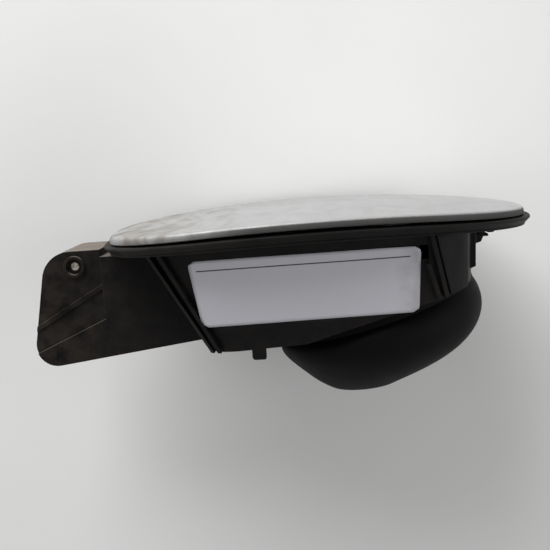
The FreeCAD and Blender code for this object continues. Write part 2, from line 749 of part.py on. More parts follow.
def filler_pocket():
    """Pocket moulding: crowned flange, tub, hinge box, neck seat, ribs, bosses and hooks in one piece."""
    under_flange = seal_crown(PLATE_TOP)
    flange = rim_layer(FLANGE_INSET, PLATE_LOW, PLATE_TOP)
    tub = tub_body(0).common(above_floor(0)).common(under_flange)
    chimney_low = BOX_STEP_Z - WALL / 2
    half = BOX_HALF_WIDTH
    chimney = box(ARM_SLOT_X - WALL, CHIMNEY_END_X, -half, half, chimney_low, TUB_TOP_Z)
    outside = [flange, tub, box_body(0), chimney.common(under_flange), neck_spigot()]
    for side in (-1, 1):
        outside += side_details(side)
        outside.append(snap_hook(side * HOOK_Y))
    body = outside[0].fuse(outside[1:])
    for side in (-1, 1):
        body = body.cut(face_recess(side))
    hollow = tub_body(-WALL).common(above_floor(WALL))
    half = INNER_HALF_WIDTH
    slot = box(ARM_SLOT_X, ARM_SLOT_END_X, -half, half, BOX_STEP_Z - 2 * WALL, REACH)
    body = body.cut([hollow, box_body(-WALL), slot])
    lock_end = V(TUB_LOCK_X + WALL, 0, LOCK_Z)
    pad = rod(V(LOCK_SEAT_X, 0, LOCK_Z), V(TUB_LOCK_X - WALL / 2, 0, LOCK_Z), BUSH_FLANGE_R + LOCK_PAD_RIM)
    body = body.fuse([pad, leaf_block(), pin_boss(-1), pin_boss(1)])
    cuts = [
        neck_rod(-2 * SPIGOT_LENGTH, 2 * SPIGOT_LENGTH, SPIGOT_R - SPIGOT_WALL),
        rod(V(LOCK_SEAT_X - WALL, 0, LOCK_Z), lock_end, BUSH_R),
        rod(V(PIVOT_X, -REACH, PIVOT_Z), V(PIVOT_X, REACH, PIVOT_Z), PIN_R),
        leaf_strip(LEAF_SLOT_CLEARANCE, LEAF_HALF_WIDTH + LEAF_SIDE_CLEARANCE),
    ]
    for side in (-1, 1):
        cuts.append(pin_bore(side))
        x, y = buffer_spot(side)
        stem_r = BUFFER_STEM_R + SEAT_CLEARANCE
        cuts.append(rod(V(x, y, -TUB_TOP_Z), V(x, y, TUB_TOP_Z), stem_r))
        right = WINDOW_X + WINDOW_WIDTH
        low = WINDOW_TOP - WINDOW_HEIGHT
        window = [(WINDOW_X, low), (right, low), (right, WINDOW_TOP), (WINDOW_X, WINDOW_TOP)]
        cuts.append(prism_y(window, side * INNER_HALF_WIDTH, side * REACH))
    return body.cut(cuts).removeSplitter()


def neck_spigot():
    """Round spigot under the floor, without its hole, for the boot to sit on."""
    return neck_rod(-SPIGOT_LENGTH, SPIGOT_LENGTH, SPIGOT_R).cut(above_floor(WALL / 2))


def boot_bowl(drawn_in):
    """Bowl of the boot through its round sections, drawn in by a wall thickness."""
    collar = SPIGOT_R + SEAT_CLEARANCE + BOOT_WALL
    top = floor_spot() + leaning(LOCK_FLOOR_SLOPE) * (SPIGOT_LENGTH + SEAT_CLEARANCE)
    wires = [round_section(top, LOCK_FLOOR_SLOPE, collar - drawn_in)]
    radii = [collar * share for share in BOWL_SHARE] + [MOUTH_R + MOUTH_LIP]
    for x, z, radius, tilt, face in zip(BOWL_X, BOWL_Z, radii, BOWL_TILT, BOWL_FACE):
        lift = drawn_in * math.sin(math.radians(face))
        narrow = drawn_in * math.cos(math.radians(face))
        wires.append(round_section(V(x, 0, z) - leaning(tilt) * lift, tilt, radius - narrow))
    return Part.makeLoft(wires, True)


def neck_boot():
    """Rubber boot: a collar over the spigot, an oblique bowl and a cuff for the filler neck."""
    seat = SPIGOT_LENGTH + SEAT_CLEARANCE
    inside = SPIGOT_R + SEAT_CLEARANCE
    collar = neck_rod(SEAT_CLEARANCE, seat, inside + BOOT_WALL)
    down = leaning(BOWL_TILT[-1])
    mouth = V(BOWL_X[-1], 0, BOWL_Z[-1])
    cuff = rod(mouth - down * CUFF_LENGTH, mouth, MOUTH_R + BOOT_WALL)
    shell = collar.fuse(boot_bowl(0)).cut([neck_rod(0, seat, inside), boot_bowl(BOOT_WALL)])
    bore = rod(mouth - down * 2 * CUFF_LENGTH, mouth + down * CUFF_LENGTH, MOUTH_R)
    return shell.fuse(cuff).cut(bore).removeSplitter()


def on_door_crown(rise):
    """Test for edges that lie on one of the door's crowned surfaces."""

    def test(edge):
        first, last = edge.ParameterRange
        middle = edge.valueAt((first + last) / 2)
        return abs(middle.z - door_height(middle.x, middle.y, rise)) < NEAR

    return test


def door_layer(inset, low, high):
    """Crowned layer of the door on the rim outline."""
    block = rim_prism(DOOR_INSET + inset, -CROWN_REACH, CROWN_REACH)
    return block.common(door_crown(high)).cut(door_crown(low))


def door_skin():
    """Painted outer skin with a rolled edge and a hem turned in under the inner panel."""
    outer = rounded(door_layer(0, 0, DOOR_DEPTH), DOOR_ROLL_R, on_door_crown(DOOR_DEPTH))
    outer = rounded(outer, SKIN / 2, on_door_crown(0))
    space = door_layer(SKIN, SKIN, DOOR_DEPTH - SKIN)
    space = rounded(space, DOOR_ROLL_R - SKIN, on_door_crown(DOOR_DEPTH - SKIN))
    mouth = rim_prism(DOOR_INSET + HEM, -CROWN_REACH, CROWN_REACH).common(door_crown(SKIN + PANEL / 4))
    return outer.cut([space, mouth])


def dish_body(inset, low):
    """Tapered body inside or outside of the inner panel's dish."""
    edge = DOOR_INSET + DISH_INSET + inset
    return Part.makeLoft([rim_wire(edge + DISH_RUN, low), rim_wire(edge, low + DISH_RISE)], True, True)


def inner_panel():
    """Pressed inner panel: a crowned border that lies in the hem and a flat-bottomed dish."""
    low = SKIN + PANEL_CLEARANCE
    hollow = dish_body(PANEL, DISH_Z + PANEL)
    dish = dish_body(0, DISH_Z).cut(hollow).common(door_crown(low + PANEL / 2))
    border = door_layer(SKIN + PANEL_EDGE_GAP, low, low + PANEL).cut(hollow)
    panel = border.fuse(dish)
    top = DISH_Z + DISH_RISE
    holes = [rod(V(x, 0, 0), V(x, 0, top), SCREW_HOLE_R) for x in SCREW_X]
    holes += [rod(V(x, y, 0), V(x, y, top), RIVET_R) for x, y in rivet_spots()]
    holes += [rod(V(x, 0, 0), V(x, 0, top), PEG_R + SEAT_CLEARANCE) for x in peg_spots()]
    return panel.cut(holes)


def rivet_spots():
    """Places of the two rivets of the lock catch."""
    return [(RIVET_X, -RIVET_Y), (RIVET_X, RIVET_Y)]


def peg_spots():
    """Places of the two pegs of the cap holder."""
    return [HOLDER_X - PEG_SPACING / 2, HOLDER_X + PEG_SPACING / 2]


def arm_outline(half_width):
    """Side shape of the gooseneck arm: hub, leg, curved band, riser and foot."""
    hub = rod(V(PIVOT_X, -half_width, PIVOT_Z), V(PIVOT_X, half_width, PIVOT_Z), HUB_R)
    turn = math.radians(ARM_LEG_ANGLE)
    run = V(math.cos(turn), 0, math.sin(turn))
    across = V(-run.z, 0, run.x) * (ARM_LEG_THICK / 2)
    end = V(PIVOT_X, 0, PIVOT_Z) + run * ((ARM_INNER_R + ARM_OUTER_R) / 2)
    start = V(PIVOT_X, 0, PIVOT_Z)
    corners = [start + across, end + across, end - across, start - across]
    leg = prism_y([(p.x, p.z) for p in corners], -half_width, half_width)
    spread = math.degrees(ARM_LEG_THICK / 2 / ARM_INNER_R)
    band = sector(ARM_INNER_R, ARM_OUTER_R, ARM_LEG_ANGLE - spread, 0, -half_width, half_width)
    left = PIVOT_X + ARM_INNER_R
    right = PIVOT_X + ARM_OUTER_R
    foot_z = DISH_Z - ARM_FOOT_THICK
    riser = [
        (left, PIVOT_Z, 0),
        (right, PIVOT_Z, 0),
        (right, foot_z, ARM_BEND_R),
        (ARM_FOOT_END_X, foot_z, ARM_EDGE_R),
        (ARM_FOOT_END_X, DISH_Z, 0),
        (left, DISH_Z, ARM_HEEL_R),
    ]
    return joined([hub, leg, band, round_prism_y(riser, -half_width, half_width)])


def arm_pockets(side):
    """Pockets between the ribs on one side of the arm's band."""
    y0 = side * ARM_WEB / 2
    y1 = side * (ARM_HALF_WIDTH + ARM_SIDE_GAP)
    inner = ARM_INNER_R + ARM_RIB
    outer = ARM_OUTER_R - ARM_RIB
    half = math.degrees(ARM_RIB / 2 / inner)
    step = -ARM_LEG_ANGLE / ARM_POCKETS
    starts = [ARM_LEG_ANGLE + k * step for k in range(ARM_POCKETS)]
    return [sector(inner, outer, start + half, start + step - half, y0, y1) for start in starts]


def hinge_arm():
    """Moulded gooseneck arm that carries the door round the flange."""
    arm = arm_outline(ARM_HALF_WIDTH)
    reach = LEAF_HALF_WIDTH + LEAF_HUB_CLEARANCE
    flat = PIVOT_X - HUB_FLAT
    top = PIVOT_Z + 2 * HUB_R
    bore_r = PIN_R + PIN_RUNNING_CLEARANCE
    cuts = [
        rod(V(PIVOT_X, -REACH, PIVOT_Z), V(PIVOT_X, REACH, PIVOT_Z), bore_r),
        box(flat - HUB_R, flat, -reach, reach, PIVOT_Z - LEAF_BEND_DROP, top),
        box(PIVOT_X - 2 * HUB_R, PIVOT_X + 2 * HUB_R, -reach, reach, PIVOT_Z + HUB_FLAT, top),
    ]
    cuts += arm_pockets(-1) + arm_pockets(1)
    cuts += [rod(V(x, 0, -CROWN_REACH), V(x, 0, CROWN_REACH), SCREW_HOLE_R) for x in SCREW_X]
    return arm.cut(cuts)


def hex_prism(x, z, radius, height):
    """Upright six-sided prism on the door's middle line."""
    turns = [k * math.pi / 3 for k in range(6)]
    corners = [V(x + radius * math.cos(turn), radius * math.sin(turn), z) for turn in turns]
    return Part.Face(Part.makePolygon(corners + corners[:1])).extrude(V(0, 0, height))


def arm_screws():
    """Two screws that hold the arm's foot to the door, heads below."""
    seat = DISH_Z - ARM_FOOT_THICK
    low = seat - SCREW_HEAD
    tip = DISH_Z + PANEL + NUT_HEIGHT + SCREW_TIP
    screws = []
    for x in SCREW_X:
        head = rod(V(x, 0, low), V(x, 0, seat), SCREW_HEAD_R)
        head = rounded(head, SCREW_HEAD_ROUND, lambda edge: abs(edge.BoundBox.ZMax - low) < NEAR)
        shank = rod(V(x, 0, seat), V(x, 0, tip), SCREW_R)
        socket = hex_prism(x, low, SOCKET_R, SOCKET_DEPTH)
        screws.append(head.fuse(shank).cut(socket).removeSplitter())
    return screws


def weld_nuts():
    """Two nuts on the hidden side of the inner panel."""
    base = DISH_Z + PANEL
    nuts = []
    for x in SCREW_X:
        hole = rod(V(x, 0, DISH_Z), V(x, 0, base + 2 * NUT_HEIGHT), SCREW_R)
        nuts.append(hex_prism(x, base, NUT_R, NUT_HEIGHT).cut(hole))
    return nuts


def hinge_pin():
    """Steel pin through the box walls and the arm's hub."""
    end = BOX_HALF_WIDTH + BOSS_OUT - PIN_RECESS
    pin = rod(V(PIVOT_X, -end, PIVOT_Z), V(PIVOT_X, end, PIVOT_Z), PIN_R)
    return rounded(pin, PIN_CHAMFER, lambda edge: edge.BoundBox.YLength < NEAR)


def leaf_spring():
    """Leaf spring that presses on the hub's flats."""
    return leaf_strip(0, LEAF_HALF_WIDTH)


def lock_bush():
    """Guide bush for the lock pin in the pocket's lock wall."""
    start = LOCK_SEAT_X - BUSH_FLANGE
    end = TUB_LOCK_X + BUSH_TAIL
    flange = rod(V(start, 0, LOCK_Z), V(LOCK_SEAT_X, 0, LOCK_Z), BUSH_FLANGE_R)
    flange = rounded(flange, BUSH_ROUND, lambda edge: abs(edge.BoundBox.XMax - start) < NEAR)
    sleeve = rod(V(LOCK_SEAT_X, 0, LOCK_Z), V(end, 0, LOCK_Z), BUSH_R - SEAT_CLEARANCE / 2)
    bore = rod(V(start - BUSH_FLANGE, 0, LOCK_Z), V(end + BUSH_TAIL, 0, LOCK_Z), LOCK_BORE_R)
    return flange.fuse(sleeve).cut(bore).removeSplitter()


def lock_catch():
    """Catch on the door with the eye that the lock pin enters."""
    right = LOCK_SEAT_X - BUSH_FLANGE - CATCH_GAP
    left = right - CATCH_THICK
    half = CATCH_HALF_WIDTH
    foot_z = DISH_Z - CATCH_FOOT
    foot = box(CATCH_FOOT_X, right, -half, half, foot_z, DISH_Z)
    tongue = box(left, right, -half, half, LOCK_Z, DISH_Z)
    tip = rod(V(left, 0, LOCK_Z), V(right, 0, LOCK_Z), half)
    back = left - GUSSET_RUN
    web = [(left, DISH_Z), (back, DISH_Z), (back, foot_z), (left, DISH_Z - GUSSET_DROP)]
    gusset = prism_y(web, -GUSSET_HALF, GUSSET_HALF)
    eye_r = LOCK_BORE_R + CATCH_EYE_CLEARANCE
    eye = rod(V(back, 0, LOCK_Z), V(right + CATCH_THICK, 0, LOCK_Z), eye_r)
    holes = [rod(V(x, y, LOCK_Z), V(x, y, CROWN_REACH), RIVET_R) for x, y in rivet_spots()]
    return joined([foot, tongue, tip, gusset]).cut([eye] + holes)


def catch_rivets():
    """Two rivets that hold the lock catch to the inner panel."""
    rivets = []
    low = DISH_Z - CATCH_FOOT
    high = DISH_Z + PANEL
    for x, y in rivet_spots():
        shank = rod(V(x, y, low), V(x, y, high), RIVET_R)
        under = rod(V(x, y, low - RIVET_HEAD), V(x, y, low), RIVET_HEAD_R)
        over = rod(V(x, y, high), V(x, y, high + RIVET_HEAD), RIVET_HEAD_R)
        under = rounded(under, RIVET_ROUND, lambda edge: abs(edge.BoundBox.ZMax - low + RIVET_HEAD) < NEAR)
        rivets.append(shank.fuse([under, over]).removeSplitter())
    return rivets


def cap_holder():
    """Plastic cradle that holds the filler cap while the tank is filled."""
    x0 = HOLDER_X - HOLDER_LENGTH / 2
    x1 = HOLDER_X + HOLDER_LENGTH / 2
    low = DISH_Z - HOLDER_BASE
    root = DISH_Z - HOLDER_BASE / 2
    end = low - HOLDER_DROP
    taper = HOLDER_FIN_INSET + HOLDER_FIN_TAPER
    pieces = [box(x0, x1, -HOLDER_HALF_WIDTH, HOLDER_HALF_WIDTH, low, DISH_Z)]
    for side in (-1, 1):
        fin = [
            (x0 + HOLDER_FIN_INSET, root, 0),
            (x0 + taper, end, HOLDER_FIN_R),
            (x1 - taper, end, HOLDER_FIN_R),
            (x1 - HOLDER_FIN_INSET, root, 0),
        ]
        pieces.append(round_prism_y(fin, side * HOLDER_HALF_WIDTH, side * (HOLDER_HALF_WIDTH - HOLDER_FIN)))
    for x in peg_spots():
        pieces.append(rod(V(x, 0, root), V(x, 0, DISH_Z + PANEL + PEG_TAIL), PEG_R))
    notch_z = end + HOLDER_NOTCH_R * HOLDER_NOTCH_SHARE
    notch = rod(V(HOLDER_X, -REACH, notch_z), V(HOLDER_X, REACH, notch_z), HOLDER_NOTCH_R)
    half = HOLDER_NOTCH_R * HOLDER_MOUTH_SHARE
    mouth = box(HOLDER_X - half, HOLDER_X + half, -REACH, REACH, end - HOLDER_DROP, notch_z)
    return joined(pieces).cut([notch, mouth])


def stop_buffer(side):
    """Rubber buffer that the door rests on, with a stem through the flange and a barb below."""
    x, y = buffer_spot(side)
    plate = seal_height(x, y) - PLATE_TOP
    top = door_height(x, y, SKIN + PANEL_CLEARANCE) - BUFFER_GAP
    base = plate + BUFFER_SEAT
    head = rod(V(x, y, base), V(x, y, top), BUFFER_R)
    head = rounded(head, BUFFER_ROUND, lambda edge: edge.BoundBox.ZMin > top - NEAR)
    under = plate - FLANGE_THICK - BUFFER_SEAT
    stem = rod(V(x, y, under), V(x, y, base), BUFFER_STEM_R)
    wide = BUFFER_STEM_R + BARB_OUT
    narrow = BUFFER_STEM_R - BARB_IN
    barb = Part.makeCone(wide, narrow, BARB_LENGTH, V(x, y, under), -Z_DIR)
    return head.fuse([stem, barb]).removeSplitter()


NODES = {
    "filler_pocket": filler_pocket,
    "rim_seal": rim_seal,
    "neck_boot": neck_boot,
    "hinge_pin": hinge_pin,
    "leaf_spring": leaf_spring,
    "lock_bush": lock_bush,
    "stop_buffer_near": lambda: stop_buffer(-1),
    "stop_buffer_far": lambda: stop_buffer(1),
    "door_skin": door_skin,
    "inner_panel": inner_panel,
    "hinge_arm": hinge_arm,
    "arm_screws": arm_screws,
    "weld_nuts": weld_nuts,
    "lock_catch": lock_catch,
    "catch_rivets": catch_rivets,
    "cap_holder": cap_holder,
}


def solids_of(made):
    """Flat list of the solids in a shape or a list of shapes."""
    shapes = made if isinstance(made, list) else [made]
    return [solid for shape in shapes for solid in shape.Solids]


def main():
    """Build every node and write its STEP file."""
    os.makedirs("parts", exist_ok=True)
    for name, make in NODES.items():
        solids = solids_of(make())
        shape = solids[0] if len(solids) == 1 else Part.makeCompound(solids)
        shape.exportStep(os.path.join("parts", name + ".step"))
        valid = all(solid.isValid() for solid in solids)
        print(name, "solids", len(solids), "valid", valid, "volume", round(shape.Volume, 1))


if __name__ == "__main__":
    main()
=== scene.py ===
"""Fuel filler door with its pocket, dressed and seen as in the photograph.

Metres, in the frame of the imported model: +X from the hinge box to the lock end,
+Z out of the car body, and the origin in the middle of the body opening.
"""
import logging
import math
from dataclasses import dataclass, field
from enum import Enum
from typing import Any, Mapping, Sequence

import bmesh
import bpy
from mathutils import Matrix, Vector
from mathutils.bvhtree import BVHTree
from mathutils.geometry import convex_hull_2d


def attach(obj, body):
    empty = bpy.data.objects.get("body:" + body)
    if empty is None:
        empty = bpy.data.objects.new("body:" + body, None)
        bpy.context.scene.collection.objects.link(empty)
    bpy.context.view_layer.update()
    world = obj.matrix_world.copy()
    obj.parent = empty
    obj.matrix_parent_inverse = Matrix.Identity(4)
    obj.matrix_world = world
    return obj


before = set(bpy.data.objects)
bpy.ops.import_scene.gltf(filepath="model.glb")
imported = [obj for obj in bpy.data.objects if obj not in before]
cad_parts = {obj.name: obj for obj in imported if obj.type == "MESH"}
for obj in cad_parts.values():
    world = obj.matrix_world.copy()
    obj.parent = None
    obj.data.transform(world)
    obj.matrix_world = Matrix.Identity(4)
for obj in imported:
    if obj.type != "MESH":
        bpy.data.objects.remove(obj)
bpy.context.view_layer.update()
LOG = logging.getLogger("filler_door")

Colour = tuple[float, float, float, float]
MM = 0.001


class Body(Enum):
    """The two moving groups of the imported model."""

    POCKET = "pocket"
    DOOR = "door"


class Slot(Enum):
    """Names of material slots that the added pieces carry; nothing reads them."""

    PAPER = "bush_plastic"
    SEAL = "seal_rubber"
    WELD = "inner_paint"


def linear(code: str) -> Colour:
    """Turns an sRGB hex colour into linear light.

    Args:
        code: Colour as "#RRGGBB".

    Returns:
        Linear red, green and blue, with full alpha.
    """
    parts = [int(code[i:i + 2], 16) / 255 for i in (1, 3, 5)]
    light = [c / 12.92 if c <= 0.04045 else ((c + 0.055) / 1.055) ** 2.4 for c in parts]
    return light[0], light[1], light[2], 1.0


def per_metre(size_mm: float) -> float:
    """Finds the pattern scale for a real size.

    Args:
        size_mm: Size of one cell in millimetres.

    Returns:
        Scale at which one cell has that size.
    """
    return 1.0 / (size_mm * MM)


def wire(
    tree: bpy.types.NodeTree,
    kind: str,
    inputs: Mapping[Any, Any] | None = None,
    out: Any = 0,
    stops: Sequence[tuple[float, Any]] = (),
    **settings: Any,
) -> Any:
    """Adds one node with its settings and links.

    Args:
        tree: Node tree that gets the node.
        kind: Blender's type name of the node.
        inputs: Value or linked socket for each input, by name or number.
        out: Name or number of the output to give back.
        stops: Places and colours of a colour ramp.
        settings: Properties of the node.

    Returns:
        The chosen output socket, or the node itself if it has no output.
    """
    node = tree.nodes.new(kind)
    for key, value in settings.items():
        setattr(node, key, value)
    for key, value in (inputs or {}).items():
        if isinstance(value, bpy.types.NodeSocket):
            tree.links.new(value, node.inputs[key])
        else:
            node.inputs[key].default_value = value
    if stops:
        elements = node.color_ramp.elements
        while len(elements) < len(stops):
            elements.new(0.5)
        for element, (place, shade) in zip(elements, stops):
            element.position = place
            element.color = shade if not isinstance(shade, float) else (shade, shade, shade, 1.0)
    return node.outputs[out] if node.outputs else node


@dataclass(frozen=True)
class Finish:
    """A real material and the way its surface was made."""

    title: str
    ior: float = 1.5

    def build(self) -> bpy.types.Material:
        """Makes the material.

        Returns:
            A node material whose patterns lie in the piece's own coordinates.
        """
        material = bpy.data.materials.new(self.title)
        material.use_nodes = True
        tree = material.node_tree
        tree.nodes.clear()
        shader = wire(tree, "ShaderNodeBsdfPrincipled", {"IOR": self.ior})
        self.paint(tree, wire(tree, "ShaderNodeTexCoord", out="Object"), shader.node)
        wire(tree, "ShaderNodeOutputMaterial", {"Surface": shader})
        return material

    def paint(self, tree: bpy.types.NodeTree, spot: bpy.types.NodeSocket, shader: bpy.types.Node) -> None:
        """Fills the shader's inputs.

        Args:
            tree: Node tree of the material.
            spot: Object coordinates.
            shader: Principled shader of the material.
        """
        raise NotImplementedError


@dataclass(frozen=True)
class CarPaint(Finish):
    """Sprayed silver paint under a tired clear coat: grey, smeared with dust, scuffed and finely scratched, with
    painted shade on the side of its rolled edge.
    """

    light: str = "#BDBEBE"
    deep: str = "#A9AAAB"
    dust: str = "#6F6558"
    scuff: str = "#8A867F"
    dust_end_x: tuple[float, float] = (-0.02, -0.098)
    dust_cover: float = 0.95
    # colour, strength and reach along X of the painted shade on the side of the rolled edge
    hem_shade_colour: str = "#2E2C2A"
    hem_shade_cover: float = 0.9
    hem_x: tuple[float, float] = (-0.07, -0.025)
    cloud_mm: float = 38.0
    smear_mm: tuple[float, float, float] = (17.0, 42.0, 40.0)
    smear_turn: float = 24.0
    # scratches 0.3 mm wide are drawn at 0.7 mm so that they show
    scratch_mm: tuple[float, float, float] = (44.0, 0.7, 30.0)
    scratch_turn: float = -52.0
    speck_mm: float = 6.0
    peel_mm: float = 2.2

    def paint(self, tree: bpy.types.NodeTree, spot: bpy.types.NodeSocket, shader: bpy.types.Node) -> None:
        """Mixes paint, dust film, scuffs, scratches and painted shade on the rolled edge.

        Args:
            tree: Node tree of the material.
            spot: Object coordinates.
            shader: Principled shader of the material.
        """
        x = wire(tree, "ShaderNodeSeparateXYZ", {0: spot}, "X")
        cloud = wire(tree, "ShaderNodeTexNoise", {"Vector": spot, "Scale": per_metre(self.cloud_mm), "Detail": 4.0})
        shades = {0: cloud, 6: linear(self.light), 7: linear(self.deep)}
        paint = wire(tree, "ShaderNodeMix", shades, 2, data_type="RGBA")
        # smeared dust lies thickest at the hinge end
        turned = wire(
            tree, "ShaderNodeMapping",
            {"Vector": spot, "Rotation": (0, 0, math.radians(self.smear_turn)),
             "Scale": tuple(per_metre(size) for size in self.smear_mm)},
        )
        smear = wire(
            tree, "ShaderNodeTexNoise",
            {"Vector": turned, "Scale": 1.0, "Detail": 8.0, "Roughness": 0.66, "Distortion": 1.1},
        )
        patch = wire(tree, "ShaderNodeValToRGB", {0: smear}, stops=[(0.43, 0.0), (0.63, 1.0)])
        near_hinge = wire(
            tree, "ShaderNodeMapRange",
            {"Value": x, "From Min": self.dust_end_x[0], "From Max": self.dust_end_x[1],
             "To Min": 0.18, "To Max": 1.0},
        )
        film = wire(tree, "ShaderNodeMath", {0: patch, 1: near_hinge}, operation="MULTIPLY")
        film = wire(tree, "ShaderNodeMath", {0: film, 1: self.dust_cover}, operation="MULTIPLY")
        dusty = wire(tree, "ShaderNodeMix", {0: film, 6: paint, 7: linear(self.dust)}, 2, data_type="RGBA")
        raked = wire(
            tree, "ShaderNodeMapping",
            {"Vector": spot, "Rotation": (0, 0, math.radians(self.scratch_turn)),
             "Scale": tuple(per_metre(size) for size in self.scratch_mm)},
        )
        rake = wire(tree, "ShaderNodeTexNoise", {"Vector": raked, "Scale": 1.0, "Detail": 1.0})
        scratch = wire(tree, "ShaderNodeValToRGB", {0: rake}, stops=[(0.73, 0.0), (0.79, 0.45)])
        grit = wire(tree, "ShaderNodeTexVoronoi", {"Vector": spot, "Scale": per_metre(self.speck_mm)}, "Distance")
        speck = wire(tree, "ShaderNodeValToRGB", {0: grit}, stops=[(0.035, 0.75), (0.075, 0.0)])
        marks = wire(tree, "ShaderNodeMath", {0: scratch, 1: speck}, operation="MAXIMUM")
        worn = wire(tree, "ShaderNodeMix", {0: marks, 6: dusty, 7: linear(self.scuff)}, 2, data_type="RGBA")
        # painted shade on the side of the rolled edge, over the seal, stands in for its dark reflection
        up = wire(tree, "ShaderNodeSeparateXYZ", {0: wire(tree, "ShaderNodeTexCoord", out="Normal")}, "Z")
        slope = wire(tree, "ShaderNodeMath", {0: up}, operation="ABSOLUTE")
        side = wire(
            tree, "ShaderNodeMapRange",
            {"Value": slope, "From Min": 0.86, "From Max": 0.5, "To Max": self.hem_shade_cover},
        )
        along = wire(
            tree, "ShaderNodeMapRange",
            {"Value": x, "From Min": self.hem_x[0], "From Max": self.hem_x[1], "To Min": 0.35, "To Max": 1.0},
        )
        hem = wire(tree, "ShaderNodeMath", {0: side, 1: along}, operation="MULTIPLY")
        hem_shaded = wire(tree, "ShaderNodeMix", {0: hem, 6: worn, 7: linear(self.hem_shade_colour)}, 2, data_type="RGBA")
        tree.links.new(hem_shaded, shader.inputs["Base Color"])
        # the dust film and the painted edge shade take the shine off the clear coat and the flake below it
        dull = wire(tree, "ShaderNodeMath", {0: film, 1: hem}, operation="MAXIMUM")
        for socket, clean, dirty in (
            ("Roughness", 0.4, 0.88), ("Metallic", 0.78, 0.05),
            ("Coat Weight", 0.2, 0.0), ("Specular IOR Level", 0.5, 0.12),
        ):
            level = wire(tree, "ShaderNodeMapRange", {"Value": dull, "To Min": clean, "To Max": dirty})
            tree.links.new(level, shader.inputs[socket])
        shader.inputs["Coat Roughness"].default_value = 0.2
        # orange peel of the sprayed coat
        peel = wire(tree, "ShaderNodeTexNoise", {"Vector": spot, "Scale": per_metre(self.peel_mm), "Detail": 2.0})
        bump = wire(tree, "ShaderNodeBump", {"Strength": 0.05, "Distance": 0.3 * MM, "Height": peel})
        tree.links.new(bump, shader.inputs["Normal"])


